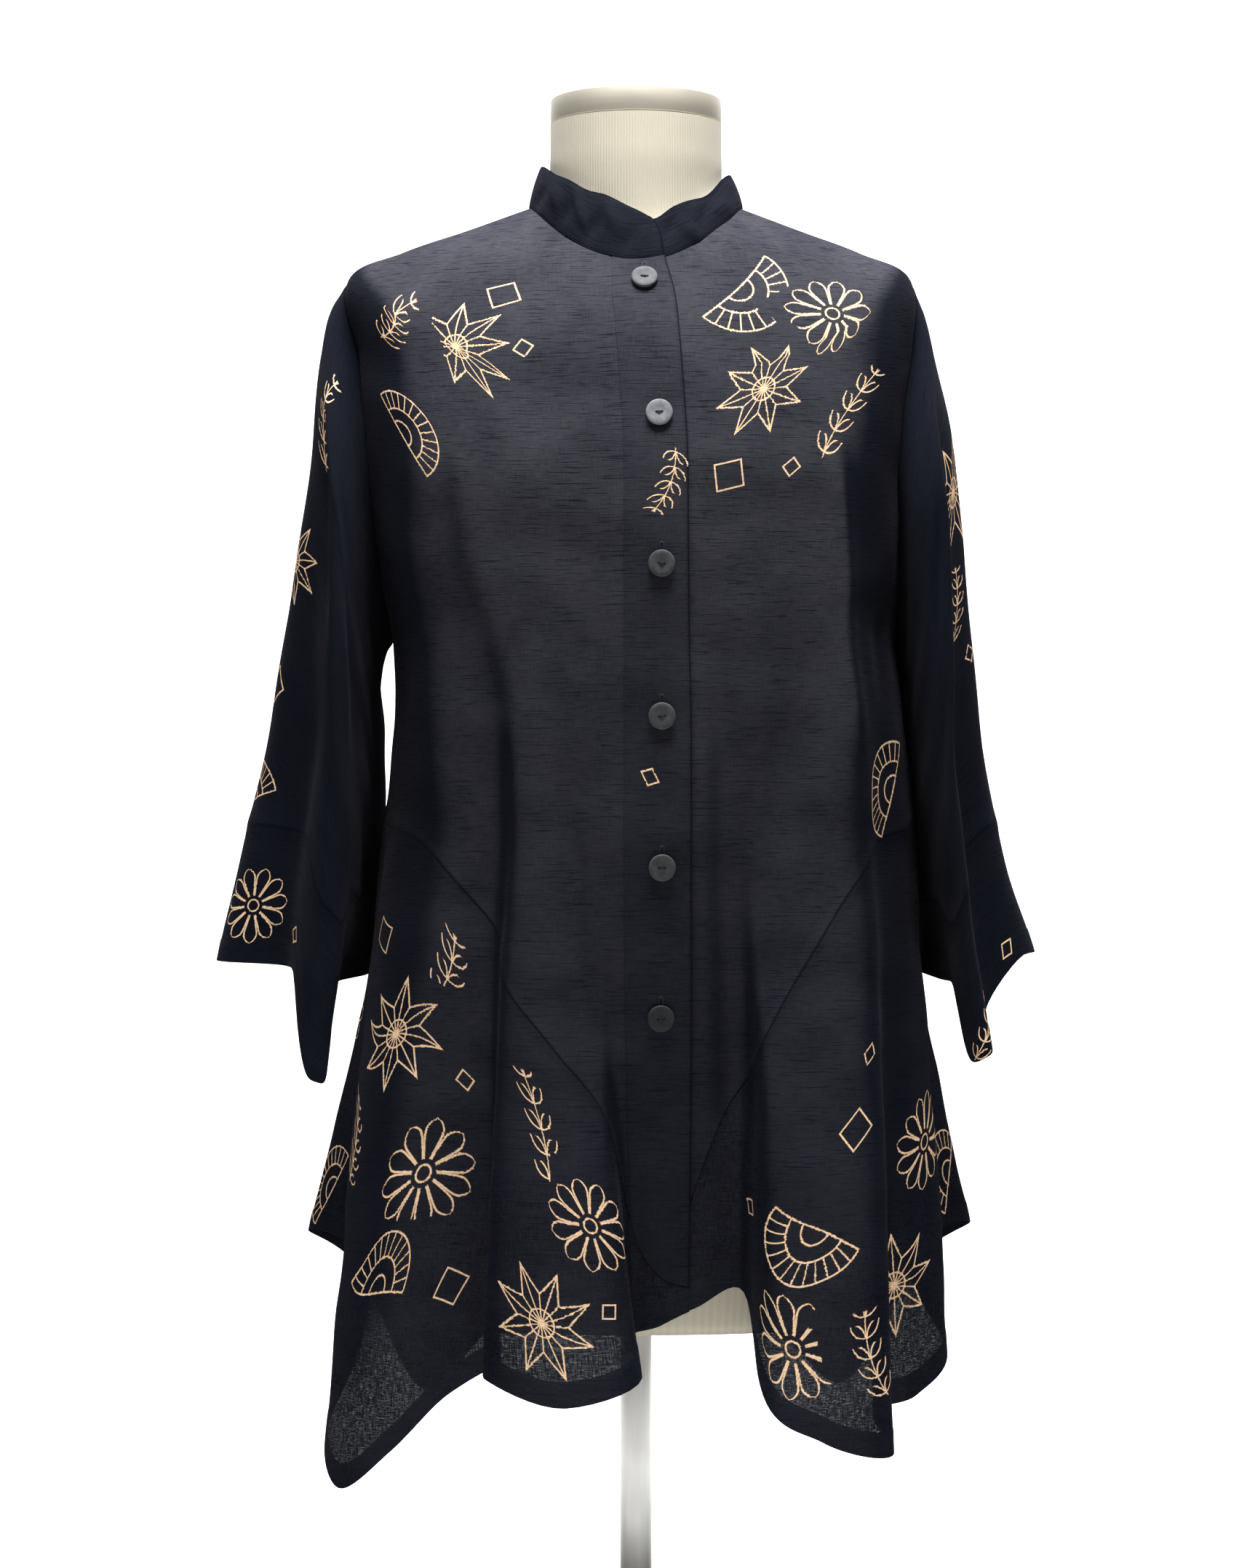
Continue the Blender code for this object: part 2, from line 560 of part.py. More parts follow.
def armhole(turn, sign):
    """Point of the armhole seam. Turn goes from the shoulder tip over the front, in degrees."""
    turn = np.asarray(turn, float) % 360.0
    fore = turn <= 180.0
    part = np.where(fore, turn, 360.0 - turn) / 180.0
    level = TIP_LEVEL + part * (UNDERARM_LEVEL - TIP_LEVEL)
    angle = np.where(fore, 90.0 - side_cut(level), 90.0 + side_cut(level))
    return body(sign * angle, level)


def sleeve(rows, creases, sign):
    """Surface of a hanging sleeve as a function of the turn round it and the part down it."""
    places = column(rows, "part")
    droop_from = DROOP_RIGHT if sign < 0 else DROOP_LEFT

    def read(name, part):
        return cubic(places, column(rows, name), part)

    def hoop(turn, part):
        angle = np.radians(turn)
        front, out = rounded(angle, SLEEVE_SQUARE)
        middle_x = (read("outer_x", part) + read("inner_x", part)) / 2
        middle_z = (read("outer_z", part) + read("inner_z", part)) / 2
        half_x = (read("outer_x", part) - read("inner_x", part)) / 2
        half_z = (read("outer_z", part) - read("inner_z", part)) / 2
        depth = np.where(front > 0, read("front_y", part), -read("back_y", part))
        x = middle_x + half_x * out
        fall = ease((front - droop_from) / (1 - droop_from))
        z = middle_z + half_z * out - read("droop", part) * fall
        return np.stack([sign * x, depth * front, z], axis=-1)

    def creased(turn, part):
        angles = column(creases, "angle")
        aside, ahead, start = [cubic(angles, column(creases, name), turn, 360.0)
                               for name in ("aside", "ahead", "start")]
        growth = np.clip((part - start) / (1 - start), 0.0, 1.0) ** CREASE_PACE
        return np.stack([sign * aside * growth, -ahead * growth, 0 * growth], axis=-1)

    def surface(turn, part):
        point = hoop(turn, part) + creased(turn, part)
        fade = np.clip(1 - part / JOIN_EASE, 0.0, 1.0) ** 2
        join = armhole(turn, sign) - hoop(turn, np.zeros_like(part))
        point = point + join * fade[..., None]
        point[..., 0] += sign * SEAM_GAP
        return point

    return surface


def tube_panel(name, surface, sign, parts):
    """Ring after ring of a sleeve or cuff."""
    count = 2 * ARMHOLE_ROWS
    turn, part = np.meshgrid(np.arange(count) * 360.0 / count, parts)
    outer = surface(turn, part)
    away = -sign * normals(surface, turn, part, TURN_STEP, PART_STEP)
    if parts[0] == 0.0:
        away[0] = outward_in_plane(outer[0])
    add(name, shell_mesh(name, outer, outer - away * CLOTH, True), "blouse_cloth")


def outward_in_plane(loop):
    """Directions across a loop, away from its middle, with no sideways part."""
    along = np.roll(loop, -1, axis=0) - np.roll(loop, 1, axis=0)
    across = np.stack([0 * along[:, 0], along[:, 2], -along[:, 1]], axis=-1)
    across *= np.sign(np.sum(across * (loop - loop.mean(axis=0)), axis=1))[:, None]
    return across / np.linalg.norm(across, axis=1, keepdims=True)


def sleeves():
    for side, rows, creases, sign in (("right", SLEEVE_RIGHT, CREASES_RIGHT, -1.0),
                                      ("left", SLEEVE_LEFT, CREASES_LEFT, 1.0)):
        surface = sleeve(rows, creases, sign)
        gap = SEAM_GAP / 2 / SLEEVE_LENGTH
        upper = (CUFF_START - gap) * np.linspace(0.0, 1.0, SLEEVE_ROWS + 1) ** HEAD_PACE
        lower = np.linspace(CUFF_START + gap, 1.0, CUFF_ROWS + 1)
        tube_panel(f"sleeve_{side}", surface, sign, upper)
        tube_panel(f"cuff_{side}", surface, sign, lower)


def collar():
    """Open ring on the neck seam, whose right end laps over the left one."""
    columns = np.linspace(0.0, 1.0, COLLAR_COLUMNS + 1)
    rise = np.linspace(0.0, 1.0, COLLAR_ROWS + 1)[:, None]
    angle = COLLAR_OVER - COLLAR_SLANT * rise**2 + (COLLAR_UNDER - 360.0 - COLLAR_OVER) * columns[None, :]
    level = np.zeros_like(angle)
    raised = np.where(angle > -180.0, lift(angle, level), 0.0) * (CLOTH + LAP_GAP)
    base = body(angle, level) + body_normal(angle, level) * raised[..., None]
    base[..., 2] += SEAM_GAP
    turn = np.radians(angle)
    out = np.stack([np.sin(turn), -np.cos(turn), 0 * turn], axis=-1)
    depth = np.where(np.cos(turn) > 0, COLLAR_TOP.front, COLLAR_TOP.back)
    top = np.stack([COLLAR_TOP.half_width * np.sin(turn), -depth * np.cos(turn),
                    body(angle, level)[..., 2] + COLLAR_HEIGHT
                    + COLLAR_PEAK * np.cos(turn) ** 2 - COLLAR_TILT * np.sin(turn)],
                   axis=-1)
    top += out * raised[..., None]
    outer = base + (top - base) * rise[..., None]
    outer += out * (COLLAR_BOW * np.sin(math.pi * rise))[..., None]
    add("collar", shell_mesh("collar", outer, outer - out * CLOTH, False), "blouse_cloth")


def disc_mesh(name, radius, height, bevel, segments):
    """Round plate standing on z = 0, with softened edges."""
    mesh = bmesh.new()
    bmesh.ops.create_cone(mesh, cap_ends=True, segments=segments, radius1=radius, radius2=radius,
                          depth=height)
    bmesh.ops.translate(mesh, verts=mesh.verts, vec=(0, 0, height / 2))
    rim = [e for e in mesh.edges if len({round(v.co.z, 6) for v in e.verts}) == 1]
    bmesh.ops.bevel(mesh, geom=rim, offset=bevel, segments=1, affect="EDGES", profile=0.5)
    data = bpy.data.meshes.new(name)
    mesh.to_mesh(data)
    mesh.free()
    return data


def buttons():
    """Discs on the placket, square to its surface."""
    raised = LAP_GAP + BAND_CLOTH + BUTTON_GAP
    levels = np.linspace(0.0, len(BLOUSE) - 2, 1400)
    x = cubic(column(LAPPED_EDGE, "level"), column(LAPPED_EDGE, "x"), levels) - BUTTON_INSET
    angles = front_angle(x, levels)
    heights = body(angles, levels)[:, 2]
    for number, height in enumerate(BUTTON_HEIGHTS, 1):
        level = np.interp(-height, -heights, levels)
        angle = np.interp(level, levels, angles)
        away = body_normal(np.array([angle]), np.array([level]))[0]
        place = body(np.array([angle]), np.array([level]))[0] + away * raised
        ahead = Vector(away)
        aside = Vector((0, 0, 1)).cross(ahead).normalized()
        frame = Matrix((aside, ahead.cross(aside), ahead)).transposed().to_4x4()
        name = f"button_{number}"
        disc = add(name, disc_mesh(name, BUTTON_RADIUS, BUTTON_HEIGHT, BUTTON_EDGE, 20), "button_plastic")
        disc.matrix_world = Matrix.Translation(Vector(place)) @ frame


def form_ring(foot, square):
    angle = np.arange(FORM_COLUMNS) * 2 * math.pi / FORM_COLUMNS
    side, ahead = rounded(angle, square)
    depth = np.where(ahead > 0, foot.front, foot.back)
    end_z = np.where(ahead > 0, foot.front_z, foot.back_z)
    z = foot.side_z + (end_z - foot.side_z) * np.cos(angle) ** 2
    return np.stack([foot.half_width * side, -depth * ahead, z], axis=-1)


def level_ring(stage):
    height = stage.height
    foot = Foot(stage.half_width, stage.front, stage.back, height, height, height)
    return form_ring(foot, stage.square)


def shoulder_ring(carried):
    """Ring of the form a little inside the blouse's ring of the same level."""
    ring = BLOUSE[carried.level]
    foot = Foot(ring.half_width - carried.narrower, -ring.front_y - carried.inset,
                ring.back_y - carried.inset, ring.front_z - carried.end_drop,
                ring.side_z - carried.side_drop, ring.back_z - carried.end_drop)
    return form_ring(foot, ring.square)


def form_rings():
    """The form's rings from its neck down to its lower edge."""
    neck = [level_ring(stage) for stage in FORM_NECK] + [form_ring(NECK_FOOT, 0.0)]
    shoulders = [shoulder_ring(carried) for carried in FORM_SHOULDERS]
    return neck + shoulders + [level_ring(stage) for stage in FORM_TRUNK]


def form():
    """Limbless torso with its neck, closed at both ends, and the metal cap on the neck."""
    mesh = bmesh.new()
    rings = [[mesh.verts.new(point) for point in ring] for ring in form_rings()]
    for above, below in zip(rings, rings[1:]):
        for j in range(FORM_COLUMNS):
            k = (j + 1) % FORM_COLUMNS
            mesh.faces.new((above[j], above[k], below[k]))
            mesh.faces.new((above[j], below[k], below[j]))
    mesh.faces.new(rings[0])
    mesh.faces.new(rings[-1])
    bmesh.ops.recalc_face_normals(mesh, faces=mesh.faces)
    data = bpy.data.meshes.new("form_torso")
    mesh.to_mesh(data)
    mesh.free()
    add("form_torso", data, "form_cloth")
    disc = disc_mesh("form_cap", CAP_RADIUS, CAP_HEIGHT, CAP_EDGE, 48)
    cap = add("form_cap", disc, "cap_steel")
    cap.location.z = FORM_NECK[0].height + SEAM_GAP


def stand():
    """Pole and round base plate, whose underside is the plane z = 0."""
    plate = disc_mesh("stand_base", BASE_RADIUS, BASE_HEIGHT, BASE_EDGE, 48)
    add("stand_base", plate, "stand_steel")
    length = FORM_TRUNK[-1].height - BASE_HEIGHT - 2 * SEAM_GAP
    rod = disc_mesh("stand_pole", POLE_RADIUS, length, POLE_EDGE, 24)
    pole = add("stand_pole", rod, "stand_steel")
    pole.location.z = BASE_HEIGHT + SEAM_GAP


def main():
    for old in list(bpy.data.objects):
        bpy.data.objects.remove(old, do_unlink=True)
    collection = bpy.data.collections.new("button_up_blouse")
    bpy.context.scene.collection.children.link(collection)
    right_front()
    left_front()
    back()
    sleeves()
    collar()
    buttons()
    form()
    stand()


main()
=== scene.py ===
"""The button-up blouse on its dress form, dressed for the render. Metres, in the part's frame."""

import math
from collections import namedtuple

import bmesh
import bpy
import numpy as np
from mathutils import Matrix, Vector


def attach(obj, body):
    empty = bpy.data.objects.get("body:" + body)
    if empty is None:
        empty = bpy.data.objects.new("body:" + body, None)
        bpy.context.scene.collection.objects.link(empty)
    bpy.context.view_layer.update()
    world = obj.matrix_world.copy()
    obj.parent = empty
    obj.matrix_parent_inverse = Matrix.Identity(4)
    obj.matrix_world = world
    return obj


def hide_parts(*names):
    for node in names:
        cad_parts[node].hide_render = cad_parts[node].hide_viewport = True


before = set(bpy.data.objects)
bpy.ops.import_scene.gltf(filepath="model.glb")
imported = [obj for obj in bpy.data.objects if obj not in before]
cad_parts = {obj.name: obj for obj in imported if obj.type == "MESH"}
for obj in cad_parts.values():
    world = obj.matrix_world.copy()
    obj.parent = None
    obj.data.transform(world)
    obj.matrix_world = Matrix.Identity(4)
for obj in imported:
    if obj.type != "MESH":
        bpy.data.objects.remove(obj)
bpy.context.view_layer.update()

# Sizes shared with the part
CLOTH_SOLID = 0.0012
BAND_SOLID = 0.0018
LAP_GAP = 0.0009
FORM_GAP = 0.0004
COLLAR_HEIGHT = 0.0270
COLLAR_PEAK = 0.0095
COLLAR_TILT = 0.003
COLLAR_BOW = 0.001
COLLAR_OVER = 14.5
COLLAR_SLANT = 2.5
COLLAR_UNDER = -16.0
LAP_WIDTH = 0.0430
UNDER_LINE = -0.0165
BUTTON_INSET = 0.0183
BUTTON_GAP = 0.0004
BUTTON_HEIGHTS = (0.9395, 0.8465, 0.746, 0.645, 0.545, 0.445)
LAP_EASE = 9.0
CUFF_START = 0.80

# The shown cloth
CLOTH = 0.0005            # wall of a single layer
BAND_CLOTH = 0.0010       # wall of the doubled bands
BAND_SWELL = 0.0005       # how far the placket swells between its stitched edges
BAND_EASE = 0.004
HEM_WIDTH = 0.017         # turned-up hem
HEM_PROUD = 0.0004        # how far it stands up
HEM_STEP = 0.002
SEAM_ROLL = 0.0006        # how far a pressed seam stands up
SEAM_WIDTH = 0.006
HEAD_EASE = 0.003         # from the armhole, where a sleeve's seam lies flat
UNDER_FROM = 0.2          # part of the lap where the left front begins
NO_EDGE = 1.0             # distance that is marked where no edge is near

# Steps over which the surfaces' normals are taken
ANGLE_STEP = 0.4
LEVEL_STEP = 0.02
TURN_STEP = 1.0
PART_STEP = 0.004

# Where the pieces begin on the cloth's flat map, so that none lies on another
BACK_MAP = 1.5
COLLAR_MAP = 2.0
SLEEVE_MAP = 3.0

# Rows and columns of the shown cloth
SHOULDER_ROWS = 42
ARMHOLE_ROWS = 66
WAIST_ROWS = 110
SKIRT_ROWS = 110
FRONT_COLUMNS = 96
BACK_COLUMNS = 66
LAP_COLUMNS = 18
SLEEVE_COLUMNS = 132
SLEEVE_ROWS = 116
CUFF_ROWS = 34
COLLAR_COLUMNS = 220
COLLAR_ROWS = 16

# The blouse's rings, from the neck seam (level 0) over the shoulder tip (level 3) and the
# underarm (level 8) to below the hem. Each is a rounded section whose front, side and back
# have their own heights above the underarm.
Ring = namedtuple("Ring", "half_width centre_x side_z front_y front_z back_y back_z square")
BLOUSE = (
    Ring(0.075, 0.000, 1.002, -0.080, 0.9545, 0.070, 1.008, 0.00),
    Ring(0.117, -0.001, 0.9865, -0.097, 0.927, 0.088, 0.983, 0.02),
    Ring(0.160, -0.003, 0.9715, -0.110, 0.898, 0.102, 0.953, 0.03),
    Ring(0.197, -0.004, 0.952, -0.119, 0.868, 0.110, 0.918, 0.03),
    Ring(0.194, -0.001, 0.895, -0.126, 0.834, 0.116, 0.878, 0.05),
    Ring(0.190, -0.002, 0.845, -0.131, 0.801, 0.120, 0.836, 0.06),
    Ring(0.187, -0.001, 0.795, -0.133, 0.768, 0.122, 0.792, 0.06),
    Ring(0.182, 0.002, 0.745, -0.134, 0.734, 0.123, 0.746, 0.06),
    Ring(0.175, 0.005, 0.700, -0.135, 0.700, 0.124, 0.700, 0.06),
    Ring(0.178, 0.009, 0.640, -0.136, 0.640, 0.126, 0.640, 0.06),
    Ring(0.186, 0.009, 0.560, -0.138, 0.560, 0.129, 0.560, 0.05),
    Ring(0.195, 0.006, 0.470, -0.140, 0.470, 0.133, 0.470, 0.05),
    Ring(0.204, 0.004, 0.370, -0.142, 0.370, 0.137, 0.370, 0.05),
    Ring(0.211, 0.002, 0.270, -0.144, 0.270, 0.141, 0.270, 0.05),
    Ring(0.217, 0.000, 0.170, -0.146, 0.170, 0.145, 0.170, 0.05),
    Ring(0.222, 0.000, 0.100, -0.148, 0.100, 0.148, 0.100, 0.05),
)
TIP_LEVEL = 3.0
UNDERARM_LEVEL = 8.0
SHIFT_FROM = 0.87         # how far aside a ring's own shift is whole; the centre lines keep still

# The hem's fold lines, round from the wearer's right side seam over the front to the left one
# and back again. The angle is where the line leaves the plain section above, x, y and z are its
# end at the hem, and start is the height where it begins to leave.
Fold = namedtuple("Fold", "name angle x y z start")
FOLDS = (
    Fold("right_side_seam", -90, -0.187, 0.015, 0.262, 0.56),
    Fold("right_side_tuck", -81, -0.190, -0.020, 0.215, 0.56),
    Fold("right_side_edge", -71, -0.2115, -0.055, 0.155, 0.60),
    Fold("right_point", -61, -0.201, -0.088, 0.124, 0.60),
    Fold("right_gore", -50, -0.165, -0.106, 0.152, 0.62),
    Fold("right_gore_inner", -39, -0.128, -0.106, 0.189, 0.66),
    Fold("roll_tuck", -29, -0.091, -0.114, 0.212, 0.80),
    Fold("roll_edge", -22, -0.1005, -0.145, 0.207, 0.80),
    Fold("roll_crest", -15, -0.047, -0.167, 0.1916, 0.68),
    Fold("roll_inner_edge", -9, 0.002, -0.147, 0.206, 0.58),
    Fold("lap_valley", -4.5, -0.006, -0.119, 0.226, 0.56),
    Fold("button_line", 4.4, 0.0155, -0.112, 0.238, 0.62),
    Fold("lap_edge", 10, 0.039, -0.111, 0.249, 0.62),
    Fold("left_valley", 17, 0.073, -0.108, 0.258, 0.64),
    Fold("left_flute_edge", 22, 0.080, -0.140, 0.207, 0.62),
    Fold("left_flute", 34, 0.122, -0.160, 0.168, 0.64),
    Fold("left_point", 46, 0.170, -0.134, 0.156, 0.80),
    Fold("left_tuck", 54, 0.158, -0.100, 0.176, 0.70),
    Fold("left_gore", 64, 0.190, -0.080, 0.185, 0.60),
    Fold("left_side_edge", 74, 0.2145, -0.044, 0.208, 0.60),
    Fold("left_side_tuck", 83, 0.196, -0.005, 0.245, 0.56),
    Fold("left_side_seam", 90, 0.191, 0.022, 0.266, 0.56),
    Fold("left_back_gore", 101, 0.221, 0.064, 0.282, 0.58),
    Fold("left_back_edge", 111, 0.243, 0.100, 0.280, 0.60),
    Fold("left_back_side", 124, 0.208, 0.152, 0.244, 0.62),
    Fold("left_back_point", 137, 0.158, 0.158, 0.155, 0.66),
    Fold("left_back_tuck", 150, 0.112, 0.122, 0.190, 0.64),
    Fold("left_back_flute", 165, 0.060, 0.160, 0.222, 0.66),
    Fold("centre_back", 180, 0.004, 0.124, 0.246, 0.62),
    Fold("right_back_flute", 195, -0.056, 0.156, 0.228, 0.66),
    Fold("right_back_tuck", 210, -0.110, 0.124, 0.196, 0.62),
    Fold("right_back_point", 223, -0.160, 0.156, 0.150, 0.66),
    Fold("right_back_side", 236, -0.206, 0.150, 0.240, 0.62),
    Fold("right_back_edge", 249, -0.238, 0.100, 0.274, 0.60),
    Fold("right_back_gore", 259, -0.216, 0.060, 0.276, 0.58),
)
FOLD_RUSH = 1.6           # how soon a fold opens below its start

# Height of the diagonal seam, by the part of the way from the front's own edge to the side
Seam = namedtuple("Seam", "part height")
SEAM = (
    Seam(0.00, 0.264), Seam(0.05, 0.272), Seam(0.10, 0.300), Seam(0.17, 0.375),
    Seam(0.24, 0.421), Seam(0.31, 0.463), Seam(0.42, 0.515), Seam(0.53, 0.550),
    Seam(0.75, 0.571), Seam(1.00, 0.578),
)

# Where the lapped front edge runs, seen from the front
Edge = namedtuple("Edge", "level x")
LAPPED_EDGE = (
    Edge(0, 0.0195), Edge(1, 0.0268), Edge(2, 0.0298), Edge(3, 0.0320), Edge(4, 0.0342),
    Edge(5, 0.0350), Edge(6, 0.0350), Edge(15, 0.0350),
)
# The collar's top, a plain ring round the neck
Rim = namedtuple("Rim", "half_width front back")
COLLAR_TOP = Rim(0.0665, 0.0690, 0.0660)

ARMHOLE_ANGLE = 22.0      # how far the armhole cuts into the front and the back
ARMHOLE_ROUND = 0.65

# A sleeve hangs empty, thin from side to side and wide from front to back. Each row is a
# slanted ring from its outer top point to its inner low one.
Hoop = namedtuple("Hoop", "part outer_x outer_z inner_x inner_z front_y back_y droop")
SLEEVE_RIGHT = (
    Hoop(0.00, 0.2010, 0.952, 0.1700, 0.700, -0.064, 0.064, 0.000),
    Hoop(0.06, 0.2125, 0.932, 0.1740, 0.692, -0.073, 0.070, 0.000),
    Hoop(0.13, 0.2195, 0.903, 0.1775, 0.682, -0.081, 0.077, 0.000),
    Hoop(0.30, 0.2245, 0.834, 0.1800, 0.652, -0.088, 0.087, 0.002),
    Hoop(0.50, 0.2385, 0.738, 0.1805, 0.607, -0.093, 0.092, 0.008),
    Hoop(0.70, 0.2560, 0.630, 0.1850, 0.554, -0.098, 0.098, 0.022),
    Hoop(0.85, 0.2745, 0.548, 0.1910, 0.505, -0.102, 0.102, 0.042),
    Hoop(1.00, 0.2900, 0.478, 0.2050, 0.462, -0.106, 0.106, 0.070),
)
SLEEVE_LEFT = (
    Hoop(0.00, 0.1930, 0.952, 0.1800, 0.700, -0.064, 0.064, 0.000),
    Hoop(0.06, 0.2010, 0.930, 0.1820, 0.692, -0.073, 0.070, 0.000),
    Hoop(0.13, 0.2080, 0.902, 0.1835, 0.682, -0.081, 0.077, 0.000),
    Hoop(0.30, 0.2200, 0.834, 0.1870, 0.652, -0.088, 0.087, 0.002),
    Hoop(0.50, 0.2285, 0.738, 0.1905, 0.607, -0.093, 0.092, 0.008),
    Hoop(0.70, 0.2400, 0.630, 0.1970, 0.554, -0.098, 0.098, 0.018),
    Hoop(0.85, 0.2555, 0.548, 0.2040, 0.505, -0.102, 0.102, 0.034),
    Hoop(1.00, 0.2760, 0.484, 0.2090, 0.464, -0.106, 0.106, 0.058),
)
SLEEVE_SQUARE = 0.05
DROOP_RIGHT = 0.88        # how near its front each sleeve's end starts to droop
DROOP_LEFT = 0.50
CREASE_PACE = 1.2         # how late a sleeve's fold deepens
HEAD_PACE = 1.3           # sets the sleeve's rings closer near the shoulder
JOIN_EASE = 0.35          # part of the sleeve in which the armhole's shape fades out

# Folds along a sleeve: angle round it from its outer line over the front, how far the cloth
# moves outwards from the body (aside) and forwards (ahead) at the end, and the part of the way
# down where it starts
Crease = namedtuple("Crease", "name angle aside ahead start")
CREASES_RIGHT = (
    Crease("outer_line", 0, 0.000, 0.002, 0.10),
    Crease("outer_front", 24, -0.003, -0.008, 0.10),
    Crease("front_valley", 47, -0.038, -0.022, 0.12),
    Crease("front_edge", 68, -0.040, 0.002, 0.12),
    Crease("front_crest", 92, -0.032, 0.002, 0.15),
    Crease("inner_front", 122, -0.016, -0.004, 0.30),
    Crease("inner_line", 175, 0.004, 0.000, 0.30),
    Crease("inner_back", 232, -0.021, 0.006, 0.20),
    Crease("back_crest", 278, 0.000, -0.004, 0.15),
    Crease("back_valley", 320, -0.014, 0.010, 0.15),
)
CREASES_LEFT = (
    Crease("outer_line", 0, 0.000, 0.000, 0.10),
    Crease("outer_front", 22, -0.002, -0.006, 0.10),
    Crease("front_valley", 46, -0.030, -0.016, 0.14),
    Crease("front_edge", 68, -0.018, 0.002, 0.14),
    Crease("front_crest", 92, -0.008, 0.002, 0.20),
    Crease("inner_front", 130, 0.004, -0.006, 0.30),
    Crease("inner_line", 180, 0.002, 0.000, 0.35),
    Crease("inner_back", 228, -0.010, 0.004, 0.20),
    Crease("back_crest", 275, -0.004, -0.003, 0.15),
    Crease("back_valley", 316, -0.016, 0.008, 0.15),
)

# The dress form: its shoulders follow the blouse's first rings, the rest has its own sizes
Stage = namedtuple("Stage", "half_width front back height square")
FORM_NECK = (
    Stage(0.0600, 0.0600, 0.0600, 1.0610, 0.0),
    Stage(0.0602, 0.0602, 0.0602, 1.0350, 0.0),
)
Foot = namedtuple("Foot", "half_width front back front_z side_z back_z")
NECK_FOOT = Foot(0.0615, 0.0610, 0.0600, 0.985, 1.014, 1.016)
CARRY_DROP = (CLOTH_SOLID + FORM_GAP) / math.cos(math.radians(25.0))
Carried = namedtuple("Carried", "level narrower inset side_drop end_drop")
FORM_SHOULDERS = (
    Carried(0, 0.000, 0.003, CARRY_DROP, CARRY_DROP),
    Carried(1, 0.001, 0.004, CARRY_DROP, CARRY_DROP),
    Carried(2, 0.003, 0.006, CARRY_DROP, CARRY_DROP),
    Carried(3, 0.015, 0.009, -0.0030, 0.006),
    Carried(4, 0.019, 0.011, -0.0050, 0.012),
    Carried(5, 0.027, 0.013, 0.0040, 0.012),
)
FORM_TRUNK = (
    Stage(0.158, 0.119, 0.104, 0.760, 0.05),
    Stage(0.146, 0.112, 0.100, 0.700, 0.04),
    Stage(0.132, 0.094, 0.090, 0.630, 0.03),
    Stage(0.138, 0.092, 0.094, 0.570, 0.03),
    Stage(0.156, 0.099, 0.108, 0.490, 0.03),
    Stage(0.166, 0.102, 0.115, 0.410, 0.03),
    Stage(0.162, 0.100, 0.112, 0.320, 0.03),
    Stage(0.156, 0.097, 0.108, 0.245, 0.03),
    Stage(0.152, 0.094, 0.105, 0.228, 0.03),
)


def cubic(knots, values, at, period=0.0):
    """Smooth curve through the values at the knots, read at the places asked for."""
    knots = np.asarray(knots, float)
    values = np.asarray(values, float)
    at = np.asarray(at, float)
    if period:
        at = (at - knots[0]) % period + knots[0]
        knots = np.concatenate([knots[-2:] - period, knots, knots[:2] + period])
        values = np.concatenate([values[-2:], values, values[:2]])
    slopes = np.gradient(values, knots)
    low = np.clip(np.searchsorted(knots, at, side="right") - 1, 0, len(knots) - 2)
    width = knots[low + 1] - knots[low]
    part = np.clip((at - knots[low]) / width, 0.0, 1.0)
    rest = 1.0 - part
    return (values[low] * rest**2 * (1 + 2 * part)
            + slopes[low] * width * part * rest**2
            + values[low + 1] * part**2 * (1 + 2 * rest)
            - slopes[low + 1] * width * part**2 * rest)


def column(rows, name):
    return np.array([getattr(row, name) for row in rows], float)


def ease(part):
    """0 to 1 with a soft start and end."""
    part = np.clip(part, 0.0, 1.0)
    return part * part * (3.0 - 2.0 * part)


def rounded(angle, square):
    """Sideways and forward parts of a unit section; square fills out its corners."""
    side = (np.sin(angle) + square * np.sin(3 * angle)) / (1 - square)
    front = (np.cos(angle) - square * np.cos(3 * angle)) / (1 - square)
    return side, front


def blouse_row(level, name):
    return cubic(np.arange(len(BLOUSE)), column(BLOUSE, name), level)


def plain_body(angle, level):
    """Point of the blouse without its folds. Angles are degrees from the centre front."""
    turn = np.radians(angle)
    side, front = rounded(turn, blouse_row(level, "square"))
    ahead = front > 0
    aside = blouse_row(level, "centre_x") * ease(np.abs(side) / SHIFT_FROM)
    x = aside + blouse_row(level, "half_width") * side
    y = np.where(ahead, blouse_row(level, "front_y") * front, -blouse_row(level, "back_y") * front)
    side_z = blouse_row(level, "side_z")
    end_z = np.where(ahead, blouse_row(level, "front_z"), blouse_row(level, "back_z"))
    return np.stack([x, y, side_z + (end_z - side_z) * np.cos(turn) ** 2], axis=-1)


LEVELS_FINE = np.linspace(UNDERARM_LEVEL, len(BLOUSE) - 1, 400)
HEIGHTS_FINE = blouse_row(LEVELS_FINE, "side_z")
FOLD_ANGLES = column(FOLDS, "angle")


def level_at(height):
    """Level of a height below the underarm, where each ring is flat."""
    return np.interp(-np.asarray(height), -HEIGHTS_FINE, LEVELS_FINE)


def fold_row(angle, name):
    return cubic(FOLD_ANGLES, column(FOLDS, name), angle, 360.0)


def hem_shift(axis):
    """How far each fold line's end at the hem lies from the plain section."""
    ends = np.stack([column(FOLDS, "x"), column(FOLDS, "y")], axis=-1)
    plain = plain_body(FOLD_ANGLES, level_at(column(FOLDS, "z")))
    return ends[:, axis] - plain[:, axis]


SHIFT_X = hem_shift(0)
SHIFT_Y = hem_shift(1)


